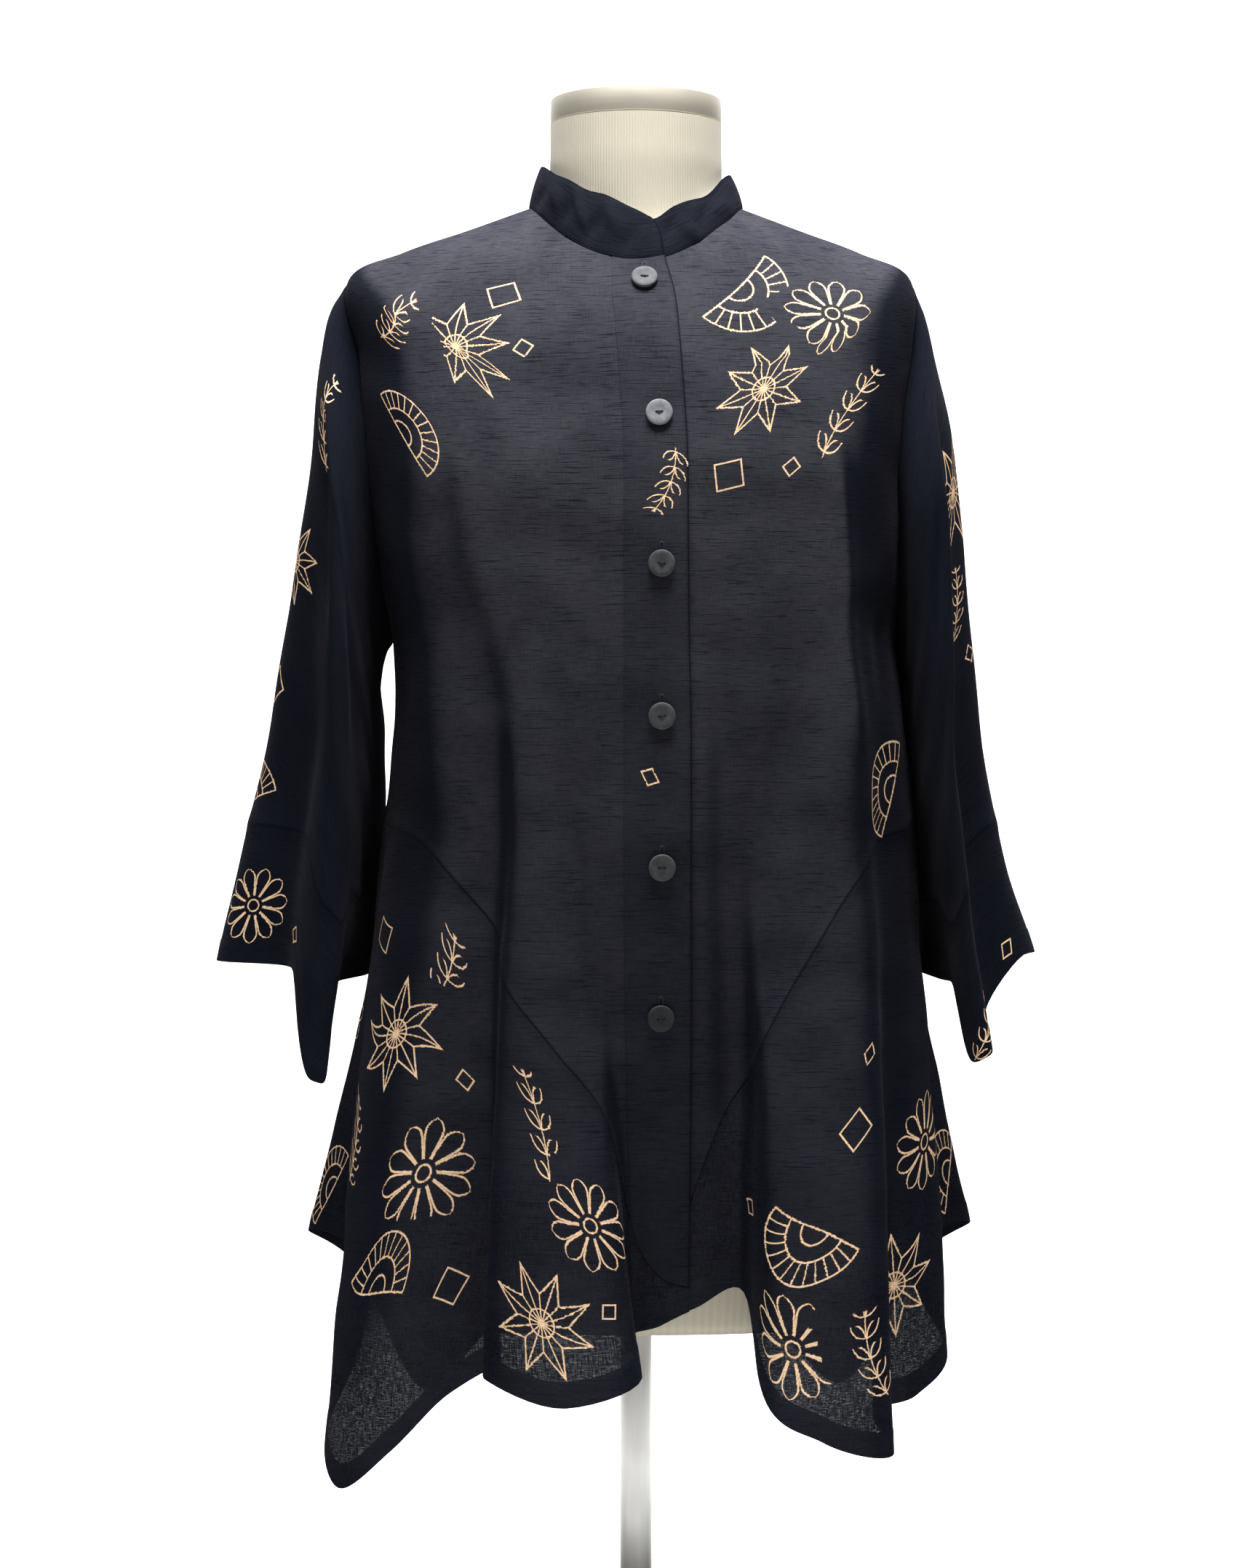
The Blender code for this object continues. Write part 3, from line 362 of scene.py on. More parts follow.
def body(angle, level):
    """Outer point of the blouse: the plain rings, and the folds that grow towards the hem."""
    point = plain_body(angle, level)
    start = fold_row(angle, "start")
    growth = np.maximum((start - point[..., 2]) / (start - fold_row(angle, "z")), 0.0)
    growth = growth**2 * (FOLD_RUSH - (FOLD_RUSH - 1) * growth)
    point[..., 0] += growth * cubic(FOLD_ANGLES, SHIFT_X, angle, 360.0)
    point[..., 1] += growth * cubic(FOLD_ANGLES, SHIFT_Y, angle, 360.0)
    return point


def normals(surface, across, down, step_across, step_down):
    """Unit normals of a surface given as a function of two coordinates."""
    along = surface(across + step_across, down) - surface(across - step_across, down)
    drop = surface(across, down + step_down) - surface(across, down - step_down)
    cross = np.cross(along, -drop)
    return cross / np.linalg.norm(cross, axis=-1, keepdims=True)


def front_angle(x, level):
    """Angle near the centre front whose plain section has this x."""
    square = blouse_row(level, "square")
    slope = (1 + 3 * square) / (1 - square)
    return np.degrees(x / (blouse_row(level, "half_width") * slope))


def lapped_edge(level):
    level = np.minimum(level, UNDERARM_LEVEL)
    x = cubic(column(LAPPED_EDGE, "level"), column(LAPPED_EDGE, "x"), level)
    return front_angle(x, level)


def under_edge(level):
    level = np.minimum(level, UNDERARM_LEVEL)
    x = cubic(column(LAPPED_EDGE, "level"), column(LAPPED_EDGE, "x"), level)
    return front_angle(np.maximum(x - LAP_WIDTH, UNDER_LINE), level)


def side_cut(level):
    """Degrees that the armhole takes off a front or back at this level."""
    part = np.clip((level - TIP_LEVEL) / (UNDERARM_LEVEL - TIP_LEVEL), 0.0, 1.0)
    return ARMHOLE_ANGLE * np.sin(math.pi * part) ** ARMHOLE_ROUND


def armhole(turn, sign):
    """Point of the armhole seam. Turn goes from the shoulder tip over the front, in degrees."""
    turn = np.asarray(turn, float) % 360.0
    fore = turn <= 180.0
    part = np.where(fore, turn, 360.0 - turn) / 180.0
    level = TIP_LEVEL + part * (UNDERARM_LEVEL - TIP_LEVEL)
    angle = np.where(fore, 90.0 - side_cut(level), 90.0 + side_cut(level))
    return shown_body(sign * angle, level)


def sleeve(rows, creases, sign):
    """Surface of a hanging sleeve as a function of the turn round it and the part down it."""
    places = column(rows, "part")
    droop_from = DROOP_RIGHT if sign < 0 else DROOP_LEFT

    def read(name, part):
        return cubic(places, column(rows, name), part)

    def hoop(turn, part):
        angle = np.radians(turn)
        front, out = rounded(angle, SLEEVE_SQUARE)
        middle_x = (read("outer_x", part) + read("inner_x", part)) / 2
        middle_z = (read("outer_z", part) + read("inner_z", part)) / 2
        half_x = (read("outer_x", part) - read("inner_x", part)) / 2
        half_z = (read("outer_z", part) - read("inner_z", part)) / 2
        depth = np.where(front > 0, read("front_y", part), -read("back_y", part))
        x = middle_x + half_x * out
        fall = ease((front - droop_from) / (1 - droop_from))
        z = middle_z + half_z * out - read("droop", part) * fall
        return np.stack([sign * x, depth * front, z], axis=-1)

    def creased(turn, part):
        angles = column(creases, "angle")
        aside, ahead, start = [cubic(angles, column(creases, name), turn, 360.0)
                               for name in ("aside", "ahead", "start")]
        growth = np.clip((part - start) / (1 - start), 0.0, 1.0) ** CREASE_PACE
        return np.stack([sign * aside * growth, -ahead * growth, 0 * growth], axis=-1)

    def surface(turn, part):
        point = hoop(turn, part) + creased(turn, part)
        fade = np.clip(1 - part / JOIN_EASE, 0.0, 1.0) ** 2
        join = armhole(turn, sign) - hoop(turn, np.zeros_like(part))
        return point + join * fade[..., None]

    return surface


# Soft troughs and ridges of the body. Each runs from one place to another, given by the angle
# from the centre front and the height, bends by its bow, and lifts the cloth by its depth.
Wrinkle = namedtuple("Wrinkle", "turn_a down_a turn_b down_b bow width depth")
WRINKLES = (
    Wrinkle(-52, 0.800, -44, 0.560, 0.010, 0.022, 0.0035),
    Wrinkle(-38, 0.760, -33, 0.420, -0.008, 0.020, -0.0030),
    Wrinkle(40, 0.790, 34, 0.520, -0.010, 0.020, 0.0030),
    Wrinkle(28, 0.700, 24, 0.400, 0.006, 0.014, -0.0030),
    Wrinkle(15, 0.720, 17, 0.300, 0.002, 0.010, -0.0050),
    Wrinkle(-12, 0.640, -10, 0.330, 0.003, 0.010, -0.0030),
    Wrinkle(38, 0.840, 44, 0.600, -0.006, 0.009, 0.0025),
    Wrinkle(-30, 0.860, -25, 0.640, 0.006, 0.012, 0.0022),
    Wrinkle(62, 0.760, 56, 0.500, 0.008, 0.018, -0.0035),
    Wrinkle(140, 0.800, 136, 0.480, 0.010, 0.024, 0.0040),
    Wrinkle(158, 0.740, 153, 0.400, -0.008, 0.020, -0.0035),
    Wrinkle(205, 0.760, 209, 0.430, 0.008, 0.020, -0.0035),
    Wrinkle(222, 0.820, 226, 0.500, -0.010, 0.024, 0.0040),
    Wrinkle(178, 0.700, 181, 0.380, 0.004, 0.016, 0.0025),
)
GIRTH = 0.18              # radius that turns the body's angles into lengths
BODY_ENDS = 4             # a wrinkle fades in and out over one part in so many of its length
WAVES = ((31.0, 9.0, 0.3), (17.0, -23.0, 1.7), (52.0, 14.0, 4.1), (44.0, -35.0, 2.6))
WAVE_HEIGHT = 0.00035
WAVE_BEND = 1.7

# Wrinkles of the sleeves, by the turn round them and the part of the way down
WRINKLES_RIGHT = (
    Wrinkle(40, 0.10, 62, 0.55, 0.004, 0.010, -0.0030),
    Wrinkle(70, 0.16, 84, 0.70, -0.004, 0.011, 0.0030),
    Wrinkle(96, 0.20, 120, 0.62, 0.004, 0.012, -0.0030),
    Wrinkle(24, 0.30, 30, 0.80, 0.003, 0.009, 0.0018),
    Wrinkle(58, 0.58, 44, 0.95, -0.003, 0.010, -0.0022),
    Wrinkle(300, 0.12, 285, 0.70, 0.004, 0.014, -0.0035),
    Wrinkle(330, 0.20, 322, 0.85, -0.004, 0.012, 0.0025),
)
WRINKLES_LEFT = (
    Wrinkle(34, 0.08, 52, 0.45, 0.004, 0.010, -0.0030),
    Wrinkle(66, 0.14, 74, 0.66, -0.004, 0.011, 0.0030),
    Wrinkle(88, 0.22, 104, 0.70, 0.003, 0.010, -0.0026),
    Wrinkle(20, 0.26, 26, 0.84, 0.003, 0.009, 0.0018),
    Wrinkle(52, 0.62, 40, 0.97, -0.003, 0.010, -0.0022),
    Wrinkle(305, 0.12, 290, 0.70, 0.004, 0.014, -0.0035),
    Wrinkle(334, 0.20, 326, 0.85, -0.004, 0.012, 0.0025),
)
SLEEVE_GIRTH = 0.066      # radius that turns the sleeve's turns into lengths
SLEEVE_LENGTH = 0.5
SLEEVE_ENDS = 3
SLEEVE_WAVES = ((3, 21, 0.6), (5, -34, 2.2))
WAVE_EASE = 0.06          # part of the way down over which the unevenness sets in

# Degrees beyond which an edge shows sharp
WALL_SHARP = 60
FORM_SHARP = 50
TURNED_SHARP = 35
NEVER_SHARP = 180


def wrap(angle):
    """Angle within half a turn of the centre front."""
    return (np.asarray(angle) + 180.0) % 360.0 - 180.0


def lifted(turn, down, wrinkles, girth, length, ends):
    """How far the wrinkles lift the cloth, on its flat map: its girth and its length unrolled."""
    total = 0.0
    for wrinkle in wrinkles:
        x = np.radians(wrap(turn - wrinkle.turn_a)) * girth
        y = (down - wrinkle.down_a) * length
        run_x = math.radians(wrap(wrinkle.turn_b - wrinkle.turn_a)) * girth
        run_y = (wrinkle.down_b - wrinkle.down_a) * length
        run = math.hypot(run_x, run_y)
        along = (x * run_x + y * run_y) / run**2
        aside = (x * run_y - y * run_x) / run
        aside = aside - wrinkle.bow * np.sin(math.pi * np.clip(along, 0.0, 1.0))
        fade = ease(ends * along) * ease(ends * (1 - along))
        total = total + wrinkle.depth * fade * near(aside, wrinkle.width)
    return total


def near(distance, width):
    """1 at no distance, falling softly to 0 beyond the width."""
    return np.exp(-(distance / width) ** 2)


def relief(angle, level):
    """How far the cloth lies off its main form: the wrinkles and a slight unevenness."""
    height = plain_body(angle, level)[..., 2]
    x = np.radians(wrap(angle)) * GIRTH
    uneven = sum(np.sin(a * x + b * height + c + WAVE_BEND * np.sin(b * x - a * height))
                 for a, b, c in WAVES)
    return lifted(angle, height, WRINKLES, GIRTH, 1.0, BODY_ENDS) + WAVE_HEIGHT * uneven


def body_normal(angle, level):
    return normals(body, angle, np.maximum(level, 0.0), ANGLE_STEP, LEVEL_STEP)


def shown_body(angle, level):
    """Outer point of the shown blouse."""
    return body(angle, level) + body_normal(angle, level) * relief(angle, level)[..., None]


def shown_normal(angle, level):
    return normals(shown_body, angle, level, ANGLE_STEP, LEVEL_STEP)


def seam_level(part):
    return level_at(cubic(column(SEAM, "part"), column(SEAM, "height"), part))


def hem_level(angle):
    return level_at(fold_row(angle, "z"))


def lift(angle, level):
    """1 where the right front lies on the left one, falling to 0 beside the placket."""
    return ease((angle - under_edge(level)) / LAP_EASE + 1.0)


def upper_levels(last):
    """Rows of levels, one column for each value of last, from the neck seam to that level."""
    shoulder = np.linspace(0.0, TIP_LEVEL, SHOULDER_ROWS + 1)
    sides = np.linspace(TIP_LEVEL, UNDERARM_LEVEL, ARMHOLE_ROWS + 1)[1:]
    fixed = np.concatenate([shoulder, sides])
    part = np.linspace(0.0, 1.0, WAIST_ROWS + 1)[1:, None]
    waist = UNDERARM_LEVEL + (last - UNDERARM_LEVEL) * part
    return np.vstack([np.repeat(fixed[:, None], len(last), axis=1), waist])


def wall_faces(rows, columns, closed):
    """Corner rows and columns of a closed wall's quads, and which skin each corner is on."""
    spans = columns if closed else columns - 1
    i, j = [grid.ravel() for grid in np.meshgrid(np.arange(rows - 1), np.arange(spans),
                                                 indexing="ij")]
    outer = (np.stack([i, i + 1, i + 1, i], 1), np.stack([j, j, j + 1, j + 1], 1), 0 * i[:, None])
    faces = [outer, (outer[0][:, ::-1], outer[1][:, ::-1], outer[2] + 1)]
    across = np.arange(spans)
    step = np.stack([across, across + 1, across + 1, across], 1)
    skin = np.array([[0, 0, 1, 1]])
    faces.append((0 * step, step, skin))
    faces.append((0 * step + rows - 1, step[:, [1, 0, 3, 2]], skin))
    if not closed:
        down = np.arange(rows - 1)
        step = np.stack([down + 1, down, down, down + 1], 1)
        faces.append((step, 0 * step, skin))
        faces.append((step[:, [1, 0, 3, 2]], 0 * step + columns - 1, skin))
    return [np.concatenate([np.broadcast_to(face[k], face[0].shape) for face in faces])
            for k in range(3)]


def smooth(data, sharp):
    """Shade a mesh smooth, but for the edges that bend more than so many degrees."""
    data.shade_smooth()
    data.set_sharp_from_angle(angle=math.radians(sharp))
    return data


def wall(name, outer, inner, closed, cloth_uv, marks):
    """Closed thin wall between two grids of points, with its flat map and marks per point."""
    rows, columns = outer.shape[:2]
    row, col, skin = wall_faces(rows, columns, closed)
    index = row * columns + col % columns + skin * rows * columns
    points = np.concatenate([outer.reshape(-1, 3), inner.reshape(-1, 3)])
    data = bpy.data.meshes.new(name)
    data.from_pydata(points.tolist(), [], index.tolist())
    layer = data.uv_layers.new(name="cloth")
    layer.data.foreach_set("uv", cloth_uv[row, col].astype(np.float32).ravel())
    for mark, values in marks.items():
        both = np.concatenate([values.ravel(), values.ravel()]).astype(np.float32)
        data.attributes.new(mark, "FLOAT", "POINT").data.foreach_set("value", both)
    return smooth(data, WALL_SHARP)


def face_outwards(data):
    shell = bmesh.new()
    shell.from_mesh(data)
    inward = shell.calc_volume(signed=True) < 0
    shell.free()
    if inward:
        data.flip_normals()


def add_object(name, data):
    piece = bpy.data.objects.new(name, data)
    bpy.context.scene.collection.objects.link(piece)
    return piece


def place(name, data, material, slot, *nodes):
    """Puts a mesh in the scene as a piece that stands for these nodes."""
    face_outwards(data)
    data.materials.clear()
    data.materials.append(material)
    piece = add_object(f"shown_{name}", data)
    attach(piece, "root")
    if nodes:
        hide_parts(*nodes)
    return piece


def run_length(points, axis):
    """Length along a grid's rows or columns, from its first point."""
    steps = np.linalg.norm(np.diff(points, axis=axis), axis=-1)
    total = np.cumsum(steps, axis=axis)
    return np.insert(total, 0, 0.0, axis=axis)


def body_map(angle, level):
    """Flat map of the body: across the front or the back and up, in metres."""
    point = plain_body(angle, level)
    ahead = np.abs(wrap(angle)) <= 90.0
    end = np.where(ahead, blouse_row(level, "front_y"), blouse_row(level, "back_y"))
    aside = np.abs(point[..., 1] - end) * np.sign(point[..., 0])
    u = np.where(ahead, point[..., 0] + aside, BACK_MAP - point[..., 0] - aside)
    return np.stack([u, point[..., 2]], axis=-1)


def edge_marks(points, edges):
    """Distance of each point to the nearest of the edges named: top, bottom, first, last."""
    down = run_length(points, 0)
    across = run_length(points, 1)
    by_edge = {"top": down, "bottom": down[-1:] - down, "first": across,
               "last": across[:, -1:] - across}
    nearest = np.full(down.shape, NO_EDGE)
    for edge in edges:
        nearest = np.minimum(nearest, by_edge[edge])
    return nearest


# Paleness painted on the cloth by height: the pale form showing through the thin cloth, and painted
# light, paler on the chest and darker towards the hem
BackingAndLight = namedtuple("BackingAndLight", "height share")
BACKING_AND_LIGHT = (
    BackingAndLight(0.10, 0.22), BackingAndLight(0.30, 0.36), BackingAndLight(0.50, 0.50), BackingAndLight(0.66, 0.70),
    BackingAndLight(0.80, 1.02), BackingAndLight(0.90, 1.22),
)
FACING_LIT_FROM = 0.80        # how little aside the cloth faces where none of the paleness is painted on yet: painted shade at the sides
FACING_LIT_TO = 0.985         # and where all of it is on
DOUBLED = 0.72            # share of that painted paleness that still comes through the double placket
COLLAR_BACKED_AND_LIT = 0.13      # and through the collar


def backed_and_lit(points, away):
    """Share of the paler colour painted on: the form showing through and painted light, most on the
    chest and where the cloth faces ahead or up, none at the sides.
    """
    share = np.interp(points[..., 2], column(BACKING_AND_LIGHT, "height"), column(BACKING_AND_LIGHT, "share"))
    facing = np.hypot(away[..., 1], away[..., 2])
    return share * ease((facing - FACING_LIT_FROM) / (FACING_LIT_TO - FACING_LIT_FROM))


# What a piece of cloth was cut to, in metres and square metres: its width, length and area.
Cut = namedtuple("Cut", "width length area")


def sheet(name, outer, inner, cloth_uv, marks, material="cloth", whole=None):
    """Piece of cloth between two grids, with its motifs, put in the scene; whole is the grid of a
    tube.
    """
    closed = whole is not None
    data = wall(name, outer, inner, closed, cloth_uv, marks)
    add_motifs(data, name, whole if closed else outer, closed)
    piece = place(name, data, MATERIALS[material], "blouse_cloth", name)


def body_panel(name, angle, level, material="cloth", raised=0.0, hem=(), seams=("bottom",)):
    """Panel of the body: turned hems and pressed seams stand up a little along its edges."""
    away = shown_normal(angle, level)
    outer = shown_body(angle, level) + away * np.asarray(raised)[..., None]
    hem_at = edge_marks(outer, hem)
    seam_at = edge_marks(outer, seams)
    proud = (HEM_PROUD * ease((HEM_WIDTH - hem_at) / HEM_STEP + 0.5)
             + SEAM_ROLL * near(seam_at, SEAM_WIDTH))
    outer = outer + away * proud[..., None]
    marks = {"hem": hem_at, "seam": seam_at, "backed_and_lit": backed_and_lit(outer, away)}
    sheet(name, outer, outer - away * CLOTH, body_map(angle, level), marks, material)


def lower_panel(name, plain, way, raised=None, seams=("top",)):
    """Sheer panel from the diagonal seam to the hem, its columns at these angles."""
    first = seam_level(way)
    part = np.linspace(0.0, 1.0, SKIRT_ROWS + 1)[:, None]
    level = first + (hem_level(plain) - first) * part
    angle = np.repeat(plain[None, :], len(level), axis=0)
    body_panel(name, angle, level, "sheer", raised(angle, level) if raised else 0.0,
               ("bottom",), seams)


def spread(parts, start, end):
    return start + (end - start) * parts


# The two edges of the lap below the underarm, as angles, and how far the right front stands off
LAP_FROM, LAP_TO = [float(edge(np.array(UNDERARM_LEVEL))) for edge in (under_edge, lapped_edge)]
LAP_STAND = CLOTH_SOLID + LAP_GAP


def lapped(angle, level):
    """How far the right front stands off the body: on the left one, and beside it less."""
    return LAP_STAND * lift(angle, level)


def right_front():
    """The lapping side: upper panel, doubled placket and lower panel with its front corner."""
    parts = np.linspace(0.0, 1.0, FRONT_COLUMNS + 1)
    plain = spread(parts, LAP_FROM, -90.0)
    level = upper_levels(seam_level((LAP_TO - plain) / (LAP_TO + 90.0)))
    angle = spread(parts, under_edge(level), -90.0 + side_cut(level))
    body_panel("front_right_upper", angle, level, raised=lapped(angle, level))

    lap = np.linspace(0.0, 1.0, LAP_COLUMNS + 1)
    flat = spread(lap, LAP_FROM, LAP_TO)
    level = upper_levels(seam_level((LAP_TO - flat) / (LAP_TO + 90.0)))
    placket(spread(lap, under_edge(level), lapped_edge(level)), level)

    plain = np.concatenate([flat[::-1], plain[1:]])
    lower_panel("lower_front_right", plain, (LAP_TO - plain) / (LAP_TO + 90.0), lapped)


def placket(angle, level):
    """The doubled strip with the buttons: a band, stitched along both long edges."""
    away = shown_normal(angle, level)
    outer = shown_body(angle, level) + away * (LAP_GAP + BAND_SOLID)
    edge = edge_marks(outer, ("first", "last"))
    outer = outer + away * (BAND_SWELL * ease(edge / BAND_EASE))[..., None]
    marks = {"hem": 0 * edge, "seam": edge_marks(outer, ("last",)),
             "backed_and_lit": DOUBLED * backed_and_lit(outer, away)}
    sheet("placket", outer, outer - away * BAND_CLOTH, body_map(angle, level), marks)


def left_front():
    """The side beneath: upper and lower panel, both running on under the placket."""
    lap = np.linspace(UNDER_FROM, 1.0, LAP_COLUMNS)
    parts = np.linspace(0.0, 1.0, FRONT_COLUMNS + 1)[1:]
    plain = np.concatenate([spread(lap, LAP_FROM, LAP_TO), spread(parts, LAP_TO, 90.0)])
    way = (plain - LAP_FROM) / (90.0 - LAP_FROM)
    level = upper_levels(seam_level(way))
    under, beside = np.split(level, [len(lap)], axis=1)
    angle = np.concatenate([spread(lap, under_edge(under), lapped_edge(under)),
                            spread(parts, lapped_edge(beside), 90.0 - side_cut(beside))], axis=1)
    body_panel("front_left_upper", angle, level)
    lower_panel("lower_front_left", plain, way)


def back():
    """Two upper and two lower back panels that meet at the centre."""
    half = np.linspace(0.0, 1.0, BACK_COLUMNS + 1)
    for side, sign in (("right", 1.0), ("left", -1.0)):
        level = upper_levels(seam_level(half))
        angle = 180.0 + sign * half * (90.0 - side_cut(level))
        body_panel(f"back_upper_{side}", angle, level, seams=("bottom", "first"))
        lower_panel(f"lower_back_{side}", 180.0 + sign * half * 90.0, half,
                    seams=("top", "first"))


def shown_sleeve(rows, creases, wrinkles, sign):
    """Surface of a sleeve with its wrinkles."""
    plain = sleeve(rows, creases, sign)

    def surface(turn, part):
        away = outward(plain, turn, np.clip(part, 0.0, 1.0), sign)
        x = np.radians(turn)
        uneven = sum(np.sin(a * x + b * part + c) for a, b, c in SLEEVE_WAVES)
        off = (lifted(turn, part, wrinkles, SLEEVE_GIRTH, SLEEVE_LENGTH, SLEEVE_ENDS)
               + WAVE_HEIGHT * uneven * ease(part / WAVE_EASE))
        return plain(turn, part) + away * off[..., None]

    return surface


def outward(surface, turn, part, sign):
    return -sign * normals(surface, turn, part, TURN_STEP, PART_STEP)


def tube_panel(name, surface, sign, parts, cuff):
    """Ring after ring of a sleeve or cuff, with its seam under the arm."""
    turns = 180.0 + np.arange(SLEEVE_COLUMNS + 1) * 360.0 / SLEEVE_COLUMNS
    turn, part = np.meshgrid(turns, parts)
    whole = surface(turn, part)
    away = outward(surface, turn, part, sign)
    top = edge_marks(whole, ("top",))
    hem_at = edge_marks(whole, ("bottom",) if cuff else ())
    seam_at = edge_marks(whole, ("top",) if cuff else ("top", "bottom"))
    proud = (SEAM_ROLL * near(seam_at, SEAM_WIDTH)
             + HEM_PROUD * ease((HEM_WIDTH - hem_at) / HEM_STEP))
    if not cuff:
        away[0] = outward_in_plane(whole[0])
        proud = proud * ease(top / HEAD_EASE)
    whole = whole + away * proud[..., None]
    cloth_uv = np.stack([run_length(whole, 1), SLEEVE_MAP - run_length(whole, 0)], axis=-1)
    outer = whole[:, :-1]
    marks = {"hem": hem_at[:, :-1], "seam": seam_at[:, :-1]}
    sheet(name, outer, outer - away[:, :-1] * CLOTH, cloth_uv, marks, whole=whole)


def outward_in_plane(loop):
    """Directions across a loop, away from its middle, with no sideways part."""
    along = np.gradient(loop, axis=0)
    across = np.stack([0 * along[:, 0], along[:, 2], -along[:, 1]], axis=-1)
    across *= np.sign(np.sum(across * (loop - loop.mean(axis=0)), axis=1))[:, None]
    return across / np.maximum(np.linalg.norm(across, axis=1, keepdims=True), 1e-9)


def sleeves():
    for side, rows, creases, wrinkles, sign in (
            ("right", SLEEVE_RIGHT, CREASES_RIGHT, WRINKLES_RIGHT, -1.0),
            ("left", SLEEVE_LEFT, CREASES_LEFT, WRINKLES_LEFT, 1.0)):
        surface = shown_sleeve(rows, creases, wrinkles, sign)
        upper = CUFF_START * np.linspace(0.0, 1.0, SLEEVE_ROWS + 1) ** HEAD_PACE
        lower = np.linspace(CUFF_START, 1.0, CUFF_ROWS + 1)
        tube_panel(f"sleeve_{side}", surface, sign, upper, False)
        tube_panel(f"cuff_{side}", surface, sign, lower, True)


# Dents and swells of the collar, by angle and part of the way up
Dent = namedtuple("Dent", "angle rise slant wide tall depth")
DENTS = (
    Dent(-4, 0.35, 10, 4.0, 0.28, -0.0018),
    Dent(-14, 0.70, -12, 5.0, 0.22, 0.0021),
    Dent(-24, 0.40, 14, 3.6, 0.30, -0.0024),
    Dent(-33, 0.60, -16, 3.2, 0.26, 0.00195),
    Dent(-42, 0.40, 12, 4.0, 0.30, -0.00225),
    Dent(-52, 0.62, -10, 4.4, 0.30, 0.0021),
    Dent(-66, 0.35, 12, 5.0, 0.30, -0.0018),
    Dent(-350, 0.45, -12, 3.4, 0.30, 0.00165),
    Dent(-341, 0.60, 12, 3.8, 0.28, -0.0021),
    Dent(-330, 0.35, -12, 4.2, 0.30, 0.00225),
    Dent(-318, 0.60, 14, 4.6, 0.30, -0.00195),
    Dent(-304, 0.45, -8, 6.0, 0.30, 0.0015),
    Dent(-230, 0.50, 10, 8.0, 0.35, 0.0018),
    Dent(-180, 0.45, -8, 9.0, 0.35, -0.00165),
    Dent(-130, 0.55, 10, 8.0, 0.35, 0.0018),
)

# Where the collar's upper edge stands higher or lower than its plain ring
Lift = namedtuple("Lift", "angle wide height")
LIFTS = (
    Lift(13, 9, -0.0068), Lift(-18, 14, 0.0065), Lift(-42, 12, 0.0036),
    Lift(-350, 9, -0.0062), Lift(-312, 12, -0.0045), Lift(-180, 25, -0.0008),
)
CORNER_RISE = 0.55        # part of the way up where the lapping end's corner starts
CORNER_TURN = 3.4         # degrees that the corner takes off at the top
COLLAR_SWELL = 0.0004     # how far it swells inside its stitched edges
COLLAR_EASE = 0.003


def collar_end(rise):
    """Angle of the collar's lapping end, rounded off towards the top."""
    corner = np.clip((rise - CORNER_RISE) / (1 - CORNER_RISE), 0.0, 1.0)
    return COLLAR_OVER - COLLAR_SLANT * rise**2 - CORNER_TURN * (1 - np.sqrt(1 - corner**2))


def collar():
    """Doubled band on the neck seam, whose right end laps over the left one."""
    rise = np.linspace(0.0, 1.0, COLLAR_ROWS + 1)[:, None]
    angle = spread(np.linspace(0.0, 1.0, COLLAR_COLUMNS + 1), collar_end(rise),
                   COLLAR_UNDER - 360.0)
    level = np.zeros_like(angle)
    turn = np.radians(angle)
    out = np.stack([np.sin(turn), -np.cos(turn), 0 * turn], axis=-1)
    raised = np.where(angle > -180.0, lapped(angle, level), 0.0)[..., None]
    foot = body(angle, level)
    depth = np.where(np.cos(turn) > 0, COLLAR_TOP.front, COLLAR_TOP.back)
    top_z = (foot[..., 2] + COLLAR_HEIGHT + COLLAR_PEAK * np.cos(turn) ** 2
             - COLLAR_TILT * np.sin(turn))
    top_z = top_z + sum(part.height * near(angle - part.angle, part.wide) for part in LIFTS)
    top = np.stack([COLLAR_TOP.half_width * np.sin(turn), -depth * np.cos(turn), top_z], axis=-1)
    base = foot + body_normal(angle, level) * raised
    outer = base + (top + out * raised - base) * rise[..., None]
    edge = edge_marks(outer, ("top", "bottom", "first", "last"))
    swell = COLLAR_BOW * np.sin(math.pi * rise) + COLLAR_SWELL * ease(edge / COLLAR_EASE)
    for dent in DENTS:
        across = angle - dent.angle - dent.slant * (rise - dent.rise)
        swell = swell + dent.depth * near(across, dent.wide) * near(rise - dent.rise, dent.tall)
    outer = outer + out * swell[..., None]
    cloth_uv = np.stack([run_length(outer, 1), COLLAR_MAP + run_length(outer, 0)], axis=-1)
    marks = {"hem": 0 * edge, "seam": edge, "backed_and_lit": COLLAR_BACKED_AND_LIT + 0 * edge}
    sheet("collar", outer, outer - out * BAND_CLOTH, cloth_uv, marks)


def turned(name, profile, segments):
    """Round piece turned from a profile of (radius, height) points, its ends on the axis."""
    mesh = bmesh.new()
    angles = [2 * math.pi * k / segments for k in range(segments)]
    rings = [[mesh.verts.new((r * math.cos(a), r * math.sin(a), z)) for a in angles]
             for r, z in profile[1:-1]]
    join_rings(mesh, rings, False)
    for ring, (_, z) in ((rings[0], profile[0]), (rings[-1], profile[-1])):
        fan(mesh, ring, mesh.verts.new((0, 0, z)))
    return finished(name, mesh, TURNED_SHARP)


def join_rings(mesh, rings, closed):
    """Quads from each ring to the next, and back to the first one where it is closed."""
    following = rings[1:] + rings[:1] if closed else rings[1:]
    for one, two in zip(rings, following):
        for k in range(len(one)):
            n = (k + 1) % len(one)
            mesh.faces.new((one[k], one[n], two[n], two[k]))


def fan(mesh, ring, tip):
    for k in range(len(ring)):
        mesh.faces.new((tip, ring[(k + 1) % len(ring)], ring[k]))


